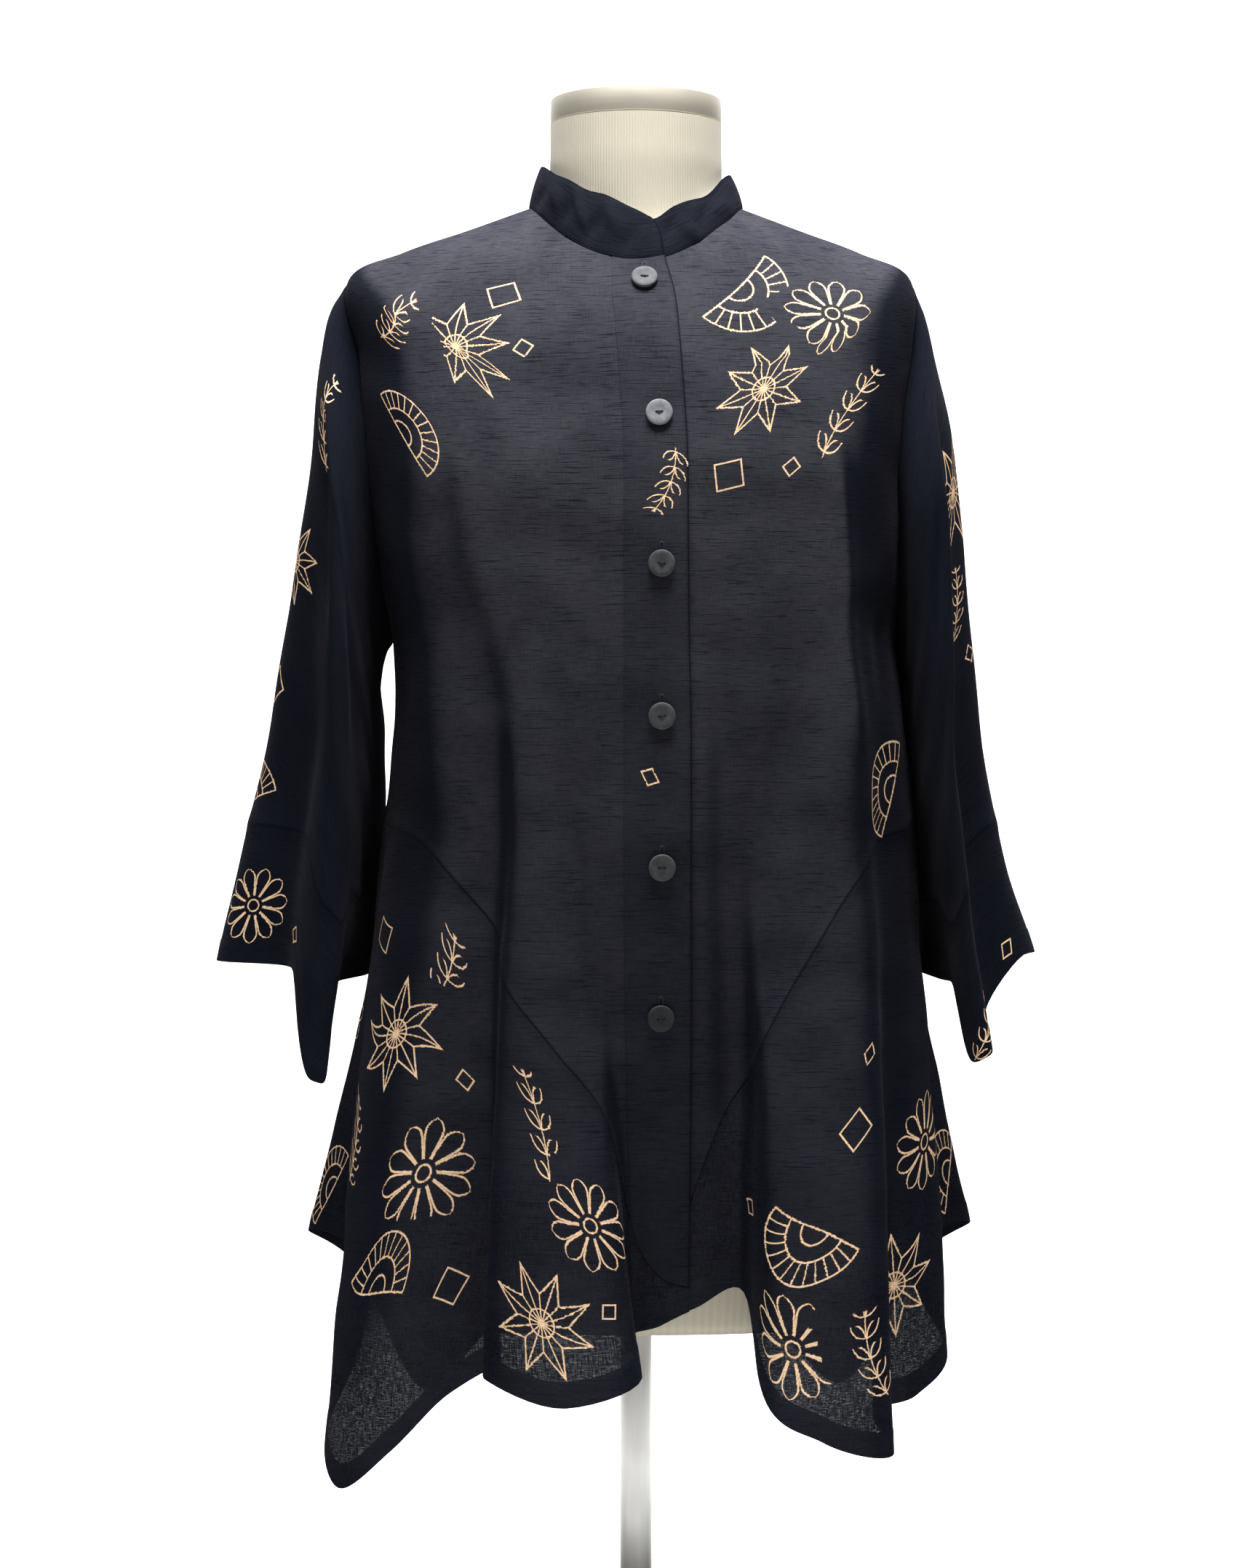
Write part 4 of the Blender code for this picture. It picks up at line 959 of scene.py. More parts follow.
def finished(name, mesh, sharp):
    """Smooth mesh data, with the edges kept that bend more than so many degrees."""
    bmesh.ops.recalc_face_normals(mesh, faces=mesh.faces)
    data = bpy.data.meshes.new(name)
    mesh.to_mesh(data)
    mesh.free()
    return smooth(data, sharp)


def cord_mesh(name, path, radius, closed, flat=1.0):
    """Thin round or flattened tube along a path of points that lies about flat in z."""
    points = [Vector(point) for point in path]
    count = len(points)
    mesh = bmesh.new()
    rings = []
    for k, point in enumerate(points):
        ahead = points[(k + 1) % count] if closed or k < count - 1 else point
        behind = points[k - 1] if closed or k > 0 else point
        along = (ahead - behind).normalized()
        side = along.cross(Vector((0, 0, 1))).normalized()
        up = side.cross(along) * flat
        rings.append([mesh.verts.new(point + (side * math.cos(a) + up * math.sin(a)) * radius)
                      for a in (2 * math.pi * n / CORD_SIDES for n in range(CORD_SIDES))])
    join_rings(mesh, rings, closed)
    if not closed:
        mesh.faces.new(rings[0])
        mesh.faces.new(rings[-1])
    return finished(name, mesh, NEVER_SHARP)


def stadium(length, width):
    """Closed outline with straight sides along y and round ends."""
    radius = width / 2
    half = length / 2 - radius
    top = [(radius * math.cos(a), half + radius * math.sin(a), 0.0)
           for a in np.linspace(0, math.pi, SLOT_ROUND)]
    side = [(-radius, y, 0.0) for y in np.linspace(half, -half, SLOT_STRAIGHT)[1:-1]]
    return top + side + [(-x, -y, z) for x, y, z in top + side]


BUTTON_PROFILE = (
    (0.0, 0.0), (0.0070, 0.0), (0.0084, 0.0002), (0.0089, 0.0008), (0.0090, 0.0014),
    (0.0089, 0.0020), (0.0086, 0.0024), (0.0082, 0.0026), (0.0062, 0.0026), (0.0048, 0.0025),
    (0.0032, 0.0023), (0.0015, 0.0022), (0.0, 0.0022),
)
BUTTON_TURNS = (-4.0, 3.0, -8.0, 5.0, -3.0, 6.0)
# The buttons are all alike; each gets a copy of their plastic with painted light or painted shade
BUTTON_SHADES = ("button", "button_pale") + 3 * ("button_dark",) + ("button_deep",)
HOLE_APART = 0.0019       # from the button's middle to each hole
HOLE_RADIUS = 0.0009
DRILL_PROFILE = ((0, -0.002), (HOLE_RADIUS, -0.002), (HOLE_RADIUS, 0.005), (0, 0.005))
BUTTON_SEGMENTS = 64
DRILL_SEGMENTS = 20
LINE_STEPS = 1400         # places tried along the buttons' line
CORD_SIDES = 8
THREAD_STEPS = 9
THREAD = 0.00035          # half its thickness
THREAD_ASIDE = (-0.0003, 0.0003)
THREAD_REACH = 0.0024     # from the button's middle to each end
THREAD_FOOT = 0.0019      # height at its ends
THREAD_RISE = 0.0007
SLOT_LENGTH = 0.021       # buttonhole
SLOT_WIDTH = 0.0022
SLOT_THREAD = 0.0007
SLOT_ROUND = 9            # steps of each round end, and of each straight side
SLOT_STRAIGHT = 12
SLOT_PLACE = (0, 0.0035, 0.0001)


def button_mesh():
    """Two-hole button with a rounded rim and a face dished a little."""
    disc = add_object("button_blank", turned("button", BUTTON_PROFILE, BUTTON_SEGMENTS))
    drills = []
    for side in (-1, 1):
        drill = turned("drill", DRILL_PROFILE, DRILL_SEGMENTS)
        drill.transform(Matrix.Translation((side * HOLE_APART, 0, 0)))
        drills.append(add_object("drill", drill))
        cut = disc.modifiers.new("hole", "BOOLEAN")
        cut.operation = "DIFFERENCE"
        cut.solver = "EXACT"
        cut.object = drills[-1]
    bpy.context.view_layer.update()
    graph = bpy.context.evaluated_depsgraph_get()
    data = bpy.data.meshes.new_from_object(disc.evaluated_get(graph))
    for extra in [disc] + drills:
        bpy.data.objects.remove(extra, do_unlink=True)
    return smooth(data, TURNED_SHARP)


def button_frames():
    """Where each button stands: a matrix whose z axis points out of the placket."""
    levels = np.linspace(0.0, len(BLOUSE) - 2, LINE_STEPS)
    x = cubic(column(LAPPED_EDGE, "level"), column(LAPPED_EDGE, "x"), levels) - BUTTON_INSET
    angles = front_angle(x, levels)
    heights = body(angles, levels)[:, 2]
    frames = []
    for height in BUTTON_HEIGHTS:
        level = np.array([np.interp(-height, -heights, levels)])
        angle = np.interp(level, levels, angles)
        ahead = Vector(shown_normal(angle, level)[0])
        point = Vector(shown_body(angle, level)[0])
        aside = Vector((0, 0, 1)).cross(ahead).normalized()
        turn = Matrix((aside, ahead.cross(aside), ahead)).transposed().to_4x4()
        point += ahead * (LAP_GAP + BAND_SOLID + BAND_SWELL)
        frames.append(Matrix.Translation(point) @ turn)
    return frames


def place_copy(name, data, matrix, material, slot, *nodes):
    data = data.copy()
    data.transform(matrix)
    place(name, data, material, slot, *nodes)


def buttons():
    """Buttons with their thread, and the stitched buttonholes behind them."""
    disc = button_mesh()
    run = np.linspace(-1.0, 1.0, THREAD_STEPS)
    rise = THREAD_FOOT + THREAD_RISE * np.cos(0.5 * math.pi * run)
    threads = [cord_mesh("thread", [(THREAD_REACH * x, aside, z) for x, z in zip(run, rise)],
                         THREAD, False) for aside in THREAD_ASIDE]
    hole = cord_mesh("slot", stadium(SLOT_LENGTH, SLOT_WIDTH), SLOT_THREAD, True, flat=0.5)
    for number, mount in enumerate(button_frames(), 1):
        name = f"button_{number}"
        turn = Matrix.Rotation(math.radians(BUTTON_TURNS[number - 1]), 4, "Z")
        stand_at = mount @ Matrix.Translation((0, 0, BUTTON_GAP)) @ turn
        shade = MATERIALS[BUTTON_SHADES[number - 1]]
        place_copy(name, disc, stand_at, shade, "button_plastic", name)
        for k, thread in enumerate(threads, 1):
            place_copy(f"thread_{number}_{k}", thread, stand_at, MATERIALS["thread"],
                       "blouse_cloth")
        place_copy(f"buttonhole_{number}", hole, mount @ Matrix.Translation(SLOT_PLACE),
                   MATERIALS["thread"], "blouse_cloth")


FORM_SEGMENTS = 144
FORM_STEPS = 8            # shown rings between two of the solid's
FORM_TUCK = 0.0012        # how far the shown form keeps inside the solid one
UNDERSIDE = (0.985, 0.96, 0.5)    # rings of the flat underside, by part of the lowest ring


def level_foot(stage):
    return Foot(stage.half_width, stage.front, stage.back, *3 * (stage.height,))


def shoulder_foot(carried):
    """The form's ring under one of the blouse's."""
    ring = BLOUSE[carried.level]
    sizes = (ring.half_width - carried.narrower, -ring.front_y - carried.inset,
             ring.back_y - carried.inset, ring.front_z - carried.end_drop,
             ring.side_z - carried.side_drop, ring.back_z - carried.end_drop)
    return Foot(*(size - FORM_TUCK for size in sizes))


def form_ring(foot, square_part):
    angle = np.arange(FORM_SEGMENTS + 1) * 2 * math.pi / FORM_SEGMENTS
    side, ahead = rounded(angle, square_part)
    depth = np.where(ahead > 0, foot.front, foot.back)
    end_z = np.where(ahead > 0, foot.front_z, foot.back_z)
    z = foot.side_z + (end_z - foot.side_z) * np.cos(angle) ** 2
    return np.stack([foot.half_width * side, -depth * ahead, z], axis=-1)


def form_rings():
    """Rings from the neck's top to the middle of the underside."""
    table = [[*level_foot(stage), stage.square] for stage in FORM_NECK] + [[*NECK_FOOT, 0.0]]
    table += [[*shoulder_foot(part), BLOUSE[part.level].square] for part in FORM_SHOULDERS]
    table += [[*level_foot(stage), stage.square] for stage in FORM_TRUNK]
    places = np.linspace(0, len(table) - 1, (len(table) - 1) * FORM_STEPS + 1)
    fine = [cubic(np.arange(len(table)), values, places) for values in zip(*table)]
    rings = [form_ring(Foot(*row[:-1]), row[-1]) for row in zip(*fine)]
    return np.stack(rings + [rings[-1] * (part, part, 1.0) for part in (*UNDERSIDE, 0.0)])


def form():
    """Padded torso covered in ribbed cloth, closed below."""
    rings = form_rings()
    mesh = bmesh.new()
    uv_layer = mesh.loops.layers.uv.new("cloth")
    around = np.arange(FORM_SEGMENTS + 1) * 2 * math.pi / FORM_SEGMENTS * NECK_FOOT.half_width
    down = run_length(rings[:, :1], 0)[:, 0]
    verts = [[mesh.verts.new(point) for point in ring[:-1]] for ring in rings[:-1]]
    join_rings(mesh, verts, False)
    mesh.faces.ensure_lookup_table()
    for number, face in enumerate(mesh.faces):
        i, j = divmod(number, FORM_SEGMENTS)
        for loop, (a, b) in zip(face.loops, ((i, j), (i, j + 1), (i + 1, j + 1), (i + 1, j))):
            loop[uv_layer].uv = (around[b], down[a])
    fan(mesh, verts[-1], mesh.verts.new(rings[-1, 0]))
    mesh.faces.new(verts[0])
    data = finished("form_torso", mesh, FORM_SHARP)
    place("form_torso", data, MATERIALS["form"], "form_cloth", "form_torso")


# The cap on the neck, and the stand: profiles of (radius, height) points
CAP_FOOT = 1.0613
ROUND_SEGMENTS = 128
POLE_SEGMENTS = 48
CAP_PROFILE = (
    (0.0, 0.0), (0.0588, 0.0), (0.0595, 0.0004), (0.0598, 0.0010), (0.0598, 0.0163),
    (0.0597, 0.0167), (0.0594, 0.0169), (0.0590, 0.0170), (0.0, 0.0170),
)
BASE_PROFILE = (
    (0.0, 0.0), (0.1385, 0.0), (0.1400, 0.0015), (0.1400, 0.0095), (0.1394, 0.0110),
    (0.1380, 0.0119), (0.1350, 0.0120), (0.0, 0.0120),
)
POLE_PROFILE = (
    (0.0, 0.0123), (0.0108, 0.0123), (0.0110, 0.0126), (0.0110, 0.2270), (0.0108, 0.2274),
    (0.0, 0.2274),
)


def cap():
    data = turned("form_cap", CAP_PROFILE, ROUND_SEGMENTS)
    data.transform(Matrix.Translation((0, 0, CAP_FOOT)))
    place("form_cap", data, MATERIALS["cap"], "cap_steel", "form_cap")


def stand():
    for name, profile, segments in (("stand_base", BASE_PROFILE, ROUND_SEGMENTS),
                                    ("stand_pole", POLE_PROFILE, POLE_SEGMENTS)):
        place(name, turned(name, profile, segments), MATERIALS["stand"], "stand_steel", name)


def link(tree, value, socket):
    """Feed a socket from another node, or set it to a plain number or colour."""
    if isinstance(value, Value):
        tree.links.new(value.socket, socket)
    else:
        socket.default_value = value


def worked_out(tree, operation, *values):
    node = tree.nodes.new("ShaderNodeMath")
    node.operation = operation
    for value, socket in zip(values, node.inputs):
        link(tree, value, socket)
    return Value(tree, node.outputs[0])


class Value:
    """What a material's node gives, worked on with the usual signs."""

    def __init__(self, tree, socket):
        self.tree = tree
        self.socket = socket

    def math(self, operation, *others):
        return worked_out(self.tree, operation, self, *others)

    def __add__(self, other):
        return self.math("ADD", other)

    def __sub__(self, other):
        return self.math("SUBTRACT", other)

    def __rsub__(self, other):
        return worked_out(self.tree, "SUBTRACT", other, self)

    def __mul__(self, other):
        return self.math("MULTIPLY", other)

    def __truediv__(self, other):
        return self.math("DIVIDE", other)

    def __abs__(self):
        return self.math("ABSOLUTE")

    def most(self, other):
        return self.math("MAXIMUM", other)

    def ramp(self, low, high, to_low=0.0, to_high=1.0):
        """Turned smoothly from one range into another."""
        node = self.tree.nodes.new("ShaderNodeMapRange")
        node.interpolation_type = "SMOOTHSTEP"
        for item, socket in zip((self, low, high, to_low, to_high), node.inputs):
            link(self.tree, item, socket)
        return Value(self.tree, node.outputs[0])

    def fall(self, low, high, to_high=0.0):
        """1 below the range, falling smoothly to the end value above it."""
        return self.ramp(low, high, 1.0, to_high)


class Net:
    """A new material, with short ways to add its nodes."""

    def __init__(self, name):
        self.material = bpy.data.materials.new(name)
        self.material.use_nodes = True
        self.tree = self.material.node_tree
        self.shader = self.tree.nodes["Principled BSDF"]

    def node(self, kind, output, settings=(), **inputs):
        """New node with its settings and its inputs by name; gives one of its outputs."""
        node = self.tree.nodes.new(f"ShaderNode{kind}")
        for name, value in settings:
            setattr(node, name, value)
        for name, value in inputs.items():
            link(self.tree, value, node.inputs[name])
        return Value(self.tree, node.outputs[output])

    def uv(self, name):
        return self.node("UVMap", 0, [("uv_map", name)])

    def mark(self, name):
        return self.node("Attribute", "Fac", [("attribute_name", name)])

    def own_place(self):
        return self.node("TexCoord", "Object")

    def parts(self, vector):
        """The vector's x and y."""
        node = self.tree.nodes.new("ShaderNodeSeparateXYZ")
        link(self.tree, vector, node.inputs[0])
        return Value(self.tree, node.outputs[0]), Value(self.tree, node.outputs[1])

    def scaled(self, vector, x, y, z=1.0):
        return self.node("Mapping", 0, Vector=vector, Scale=(x, y, z))

    def noise(self, vector, scale=1.0, detail=2.0, rough=0.5):
        return self.node("TexNoise", "Fac", Vector=vector, Scale=scale, Detail=detail,
                         Roughness=rough)

    def grain(self, flat, grain):
        """Noise drawn out across or up the flat cloth."""
        return self.noise(self.scaled(flat, grain.across, grain.up), detail=grain.detail)

    def mix(self, part, one, two):
        """Colour between two others."""
        node = self.tree.nodes.new("ShaderNodeMix")
        node.data_type = "RGBA"
        for value, socket in zip((part, one, two), (node.inputs[k] for k in (0, 6, 7))):
            link(self.tree, value, socket)
        return Value(self.tree, node.outputs[2])

    def bump(self, height, distance, strength=1.0):
        return self.node("Bump", 0, Strength=strength, Distance=distance, Height=height)

    def set(self, **values):
        for name, value in values.items():
            link(self.tree, value, self.shader.inputs[name.replace("_", " ")])
        return self.material


# How often the cloth's unevenness changes across and up, by the metre
Grain = namedtuple("Grain", "across up detail")
SLUB = Grain(34, 900, 2.0)
THIN_SLUB = Grain(70, 1500, 2.0)
PATCH = Grain(16, 22, 3.0)
WEFT = Grain(120, 2400, 1.0)
WARP = Grain(2400, 110, 1.0)
VEIL = Grain(420, 1900, 2.0)
WEAR = Grain(420, 900, 2.0)
PRINT_GRAIN = Grain(700, 700, 1.0)
RIB_SWAY = Grain(90, 18, 1.0)
KNOTS = Grain(1300, 1300, 2.0)

# The print's kinds of motif, each drawn on its own flat square from -1 to 1
KINDS = ("daisy", "star", "square", "small_square", "sprig", "sun")
KIND_APART = 10.0         # from one kind's stretch of the motif map to the next
LINE_SOFT = (0.55, 1.2)   # parts of its half width over which a line fades out
THINNER = 0.8             # inner lines of a motif, against its outer ones
SPOKES_AHEAD = 100.5      # turns added, so that no angle is below 0
PETALS = 11
PETAL_ROOM = 0.86         # part of its share of the round that a petal fills
PETAL_FROM = (0.24, 0.26)
PETAL_TO = (0.97, 0.99)
PETAL_BEND = 0.60         # where its tip starts to round off, and over how much
PETAL_ROUND = 0.36
PETAL_WIDEST = 0.78
DAISY_RING = 0.15
STAR_POINTS = 8
STAR_TIP = 0.97
STAR_VALLEY = 0.50
STAR_RING = 0.24
SQUARE_HALF = 0.85
STEM_BOW = 0.22
STEM_END = (0.93, 0.97)
LEAF_APART = 0.42         # along the stem
LEAF_START = 9.8
LEAF_FOOT = 0.30          # part of the way from a leaf to the next
LEAF_LEAN = math.radians(48)
LEAF_MIDDLE = 0.26        # from the stem
LEAF_HALF = 0.24
LEAF_WIDTH = 0.10
SUN_RINGS = (0.28, 0.56, 0.95)
SUN_RAYS = 26
RAYS_FROM = (0.55, 0.57)
RAYS_TO = (0.94, 0.96)
SUN_BASE = (0.95, 0.97)
ROUGH_LINE = 0.05         # how far a printed line strays


def band(distance, width):
    """1 on a line of so much half width, by the distance from its middle."""
    return abs(distance).fall(*(width * part for part in LINE_SOFT))


def polar(x, y):
    return (x * x + y * y).math("SQRT"), y.math("ARCTAN2", x)


def folded(angle, count):
    """Angle from the nearest of so many spokes, 0 to half the angle between two."""
    turn = (angle * (count / (2 * math.pi)) + SPOKES_AHEAD).math("FRACT")
    return abs(turn - 0.5) * (2 * math.pi / count)


def by_spoke(radius, angle, count):
    """Distances across and along the nearest of so many spokes."""
    spoke = folded(angle, count)
    return radius * spoke.math("SINE"), radius * spoke.math("COSINE")


def daisy(x, y, width):
    """Petals with rounded ends round a small ring, each drawn as its own loop."""
    radius, angle = polar(x, y)
    across, along = by_spoke(radius, angle, PETALS)
    reach = ((along - PETAL_BEND) / PETAL_ROUND).most(0.0)
    tip = (1.0 - reach.math("POWER", 2.0)).most(0.0).math("SQRT")
    taper = along.math("MINIMUM", PETAL_WIDEST) * (math.tan(math.pi / PETALS) * PETAL_ROOM)
    loop = band(across - taper * tip, width) * along.ramp(*PETAL_FROM) * along.fall(*PETAL_TO)
    return loop.most(band(radius - DAISY_RING, width))


def star(x, y, width):
    """Star of narrow facets with its spokes and an inner ring."""
    radius, angle = polar(x, y)
    across, along = by_spoke(radius, angle, STAR_POINTS)
    half = math.pi / STAR_POINTS
    side = (STAR_VALLEY * math.cos(half) - STAR_TIP, STAR_VALLEY * math.sin(half))
    length = math.hypot(*side)
    rim = (along - STAR_TIP) * (side[1] / length) + across * (-side[0] / length)
    dip = along * math.sin(half) + across * -math.cos(half)
    spokes = band(across, width * THINNER).most(band(dip, width * THINNER))
    inner = (spokes * rim.fall(-0.01, 0.0)).most(band(radius - STAR_RING, width))
    return band(rim, width).most(inner)


def square(x, y, width):
    return band(abs(x).most(abs(y)) - SQUARE_HALF, width)


def sprig(x, y, width):
    """Curved stem with pairs of slender leaves."""
    aside = abs(x - y * y * STEM_BOW)
    rise = (((y + LEAF_START) / LEAF_APART).math("FRACT") - LEAF_FOOT) * LEAF_APART
    along = aside * math.sin(LEAF_LEAN) + rise * math.cos(LEAF_LEAN) - LEAF_MIDDLE
    across = abs(rise * math.sin(LEAF_LEAN) - aside * math.cos(LEAF_LEAN))
    part = along / LEAF_HALF
    leaf = band(across - (1.0 - part * part) * LEAF_WIDTH, width) * abs(part).fall(1.0, 1.08)
    return band(aside, width * THINNER).most(leaf) * abs(y).fall(*STEM_END)


def sun(x, y, width):
    """Half sun: rings over a base line, with rays between the outer two."""
    radius, angle = polar(x, y)
    ray = radius * folded(angle, SUN_RAYS).math("SINE")
    drawn = band(ray, width * THINNER) * radius.ramp(*RAYS_FROM) * radius.fall(*RAYS_TO)
    for size in SUN_RINGS:
        drawn = drawn.most(band(radius - size, width))
    base = band(y, width) * abs(x).fall(*SUN_BASE)
    return (drawn * y.ramp(-0.02, 0.0)).most(base)


DRAWN = {
    "daisy": (daisy, 0.024), "star": (star, 0.019), "square": (square, 0.065),
    "small_square": (square, 0.125), "sprig": (sprig, 0.022), "sun": (sun, 0.020),
}


def print_mask(net):
    """1 on the print's lines: each kind of motif has its own stretch of the motif map."""
    map_x, map_y = net.parts(net.uv("motif"))
    drift = (net.grain(net.uv("cloth"), PRINT_GRAIN) - 0.5) * ROUGH_LINE
    total = None
    for number, kind in enumerate(KINDS):
        draw, width = DRAWN[kind]
        x = map_x - KIND_APART * number + drift
        here = abs(x).math("LESS_THAN", KIND_APART / 2)
        drawn = draw(x, map_y + drift, width) * here
        total = total.most(drawn) if total else drawn
    return total


# Where the motifs lie: by piece, the middle on the cloth, its turn in degrees and its half size
Motif = namedtuple("Motif", "kind x y z turn size")
MOTIFS = {
    "front_right_upper": (
        Motif("star", -0.122, -0.108, 0.896, 20, 0.036),
        Motif("sprig", -0.166, -0.085, 0.912, 34, 0.032),
        Motif("square", -0.092, -0.105, 0.940, 38, 0.0105),
        Motif("small_square", -0.078, -0.118, 0.894, 15, 0.0055),
        Motif("sun", -0.158, -0.100, 0.836, 52, 0.032),
    ),
    "front_left_upper": (
        Motif("sun", 0.070, -0.100, 0.942, -160, 0.038),
        Motif("daisy", 0.134, -0.095, 0.920, 4, 0.031),
        Motif("star", 0.086, -0.120, 0.866, 12, 0.033),
        Motif("sprig", 0.146, -0.112, 0.852, -38, 0.034),
        Motif("square", 0.062, -0.130, 0.806, 8, 0.0105),
        Motif("small_square", 0.104, -0.128, 0.812, 35, 0.0052),
        Motif("sun", 0.172, -0.078, 0.596, 64, 0.034),
    ),
    "back_upper_right": (
        Motif("star", -0.100, 0.100, 0.925, 14, 0.038),
        Motif("sprig", -0.148, 0.090, 0.885, 30, 0.030),
        Motif("small_square", -0.050, 0.114, 0.890, 35, 0.0052),
        Motif("daisy", -0.060, 0.124, 0.700, 0, 0.030),
    ),
    "back_upper_left": (
        Motif("daisy", 0.110, 0.100, 0.920, 10, 0.030),
        Motif("square", 0.060, 0.112, 0.895, 20, 0.0115),
        Motif("sun", 0.040, 0.100, 0.960, 14, 0.034),
        Motif("square", 0.100, 0.120, 0.640, 30, 0.0115),
    ),
    "placket": (
        Motif("sprig", 0.024, -0.131, 0.800, 160, 0.024),
        Motif("small_square", 0.010, -0.135, 0.604, 30, 0.0052),
    ),
    "sleeve_right": (
        Motif("sprig", -0.216, -0.060, 0.850, 8, 0.032),
        Motif("star", -0.230, -0.040, 0.752, 16, 0.030),
        Motif("square", -0.246, -0.040, 0.668, 36, 0.0110),
        Motif("sun", -0.262, -0.030, 0.588, 20, 0.030),
        Motif("sun", -0.226, 0.060, 0.800, 60, 0.034),
        Motif("daisy", -0.222, 0.085, 0.640, 0, 0.030),
    ),
    "sleeve_left": (
        Motif("star", 0.222, -0.055, 0.800, 22, 0.040),
        Motif("sprig", 0.226, -0.060, 0.725, 12, 0.026),
        Motif("small_square", 0.232, -0.050, 0.690, 30, 0.0052),
        Motif("daisy", 0.220, 0.050, 0.830, 0, 0.030),
        Motif("square", 0.236, 0.060, 0.720, 15, 0.0115),
        Motif("sun", 0.240, 0.070, 0.620, 70, 0.034),
    ),
    "cuff_right": (
        Motif("daisy", -0.266, -0.060, 0.516, 12, 0.027),
        Motif("small_square", -0.246, -0.085, 0.500, 24, 0.0052),
        Motif("star", -0.262, 0.070, 0.515, 0, 0.029),
    ),
    "cuff_left": (
        Motif("sprig", 0.238, -0.104, 0.440, 40, 0.026),
        Motif("small_square", 0.262, -0.080, 0.490, 14, 0.0052),
        Motif("daisy", 0.262, 0.070, 0.515, 0, 0.029),
    ),
    "lower_front_right": (
        Motif("square", -0.184, -0.085, 0.500, 15, 0.0105),
        Motif("sprig", -0.128, -0.118, 0.470, 20, 0.033),
        Motif("star", -0.168, -0.105, 0.432, 12, 0.038),
        Motif("small_square", -0.116, -0.128, 0.402, 30, 0.0055),
        Motif("daisy", -0.146, -0.120, 0.338, 8, 0.037),
        Motif("sprig", -0.194, -0.070, 0.352, 4, 0.032),
        Motif("sun", -0.176, -0.098, 0.258, 30, 0.036),
        Motif("square", -0.126, -0.120, 0.262, 38, 0.0110),
        Motif("sprig", -0.064, -0.162, 0.374, -24, 0.034),
        Motif("daisy", -0.028, -0.165, 0.310, 10, 0.031),
        Motif("star", -0.064, -0.165, 0.248, 18, 0.037),
        Motif("small_square", -0.018, -0.160, 0.254, 8, 0.0052),
    ),
    "lower_front_left": (
        Motif("sun", 0.120, -0.152, 0.306, 146, 0.038),
        Motif("daisy", 0.102, -0.150, 0.228, 6, 0.034),
        Motif("sprig", 0.154, -0.140, 0.222, 18, 0.032),
        Motif("star", 0.180, -0.098, 0.262, 6, 0.036),
        Motif("square", 0.146, -0.135, 0.372, 32, 0.0110),
        Motif("small_square", 0.074, -0.122, 0.318, 20, 0.0052),
        Motif("daisy", 0.198, -0.066, 0.356, 0, 0.032),
        Motif("small_square", 0.158, -0.130, 0.420, 12, 0.0052),
    ),
    "lower_back_right": (
        Motif("star", -0.150, 0.150, 0.240, 10, 0.042),
        Motif("daisy", -0.080, 0.140, 0.330, 0, 0.034),
        Motif("sprig", -0.210, 0.110, 0.330, 20, 0.034),
        Motif("sun", -0.225, 0.060, 0.310, 60, 0.034),
        Motif("square", -0.120, 0.140, 0.400, 30, 0.0115),
        Motif("small_square", -0.040, 0.145, 0.290, 12, 0.0052),
        Motif("daisy", -0.200, 0.080, 0.430, 0, 0.032),
    ),
    "lower_back_left": (
        Motif("daisy", 0.150, 0.150, 0.240, 10, 0.036),
        Motif("star", 0.080, 0.145, 0.320, 0, 0.040),
        Motif("sprig", 0.215, 0.110, 0.330, -20, 0.034),
        Motif("sun", 0.228, 0.070, 0.320, -60, 0.034),
        Motif("square", 0.110, 0.140, 0.410, 30, 0.0115),
        Motif("small_square", 0.040, 0.150, 0.270, 12, 0.0052),
        Motif("daisy", 0.200, 0.080, 0.440, 0, 0.032),
    ),
    "collar": (),
}
NO_MOTIF = -100.0
CUT_APART = 0.02          # a tube's face whose map is wider lies on its cut
MOTIF_ROOM = 1.12         # how far past a motif's size its map reaches


def add_motifs(data, name, grid, closed):
    """Second flat map: each face near a motif gets its place on that motif's own square."""
    row, col, _ = wall_faces(grid.shape[0], grid.shape[1] - closed, closed)
    across, down = run_length(grid, 1), run_length(grid, 0)
    flat = np.full((*row.shape, 2), NO_MOTIF)
    for motif in MOTIFS[name]:
        apart = np.sum((grid - (motif.x, motif.y, motif.z)) ** 2, axis=-1)
        i, j = np.unravel_index(np.argmin(apart), apart.shape)
        x = across[row, col] - across[row, j]
        y = down[i, col] - down[row, col]
        if closed:
            girth = across[row, -1]
            x = (x + girth / 2) % girth - girth / 2
            whole = np.ptp(x, axis=1) < CUT_APART
        else:
            whole = True
        angle = math.radians(motif.turn)
        local = np.stack([x * math.cos(angle) + y * math.sin(angle),
                          y * math.cos(angle) - x * math.sin(angle)], axis=-1) / motif.size
        inside = (np.abs(local.mean(axis=1)).max(axis=-1) < MOTIF_ROOM) & whole
        flat[inside] = local[inside] + (KIND_APART * KINDS.index(motif.kind), 0.0)
    layer = data.uv_layers.new(name="motif")
    layer.data.foreach_set("uv", flat.astype(np.float32).ravel())
    data.uv_layers["cloth"].active_render = True


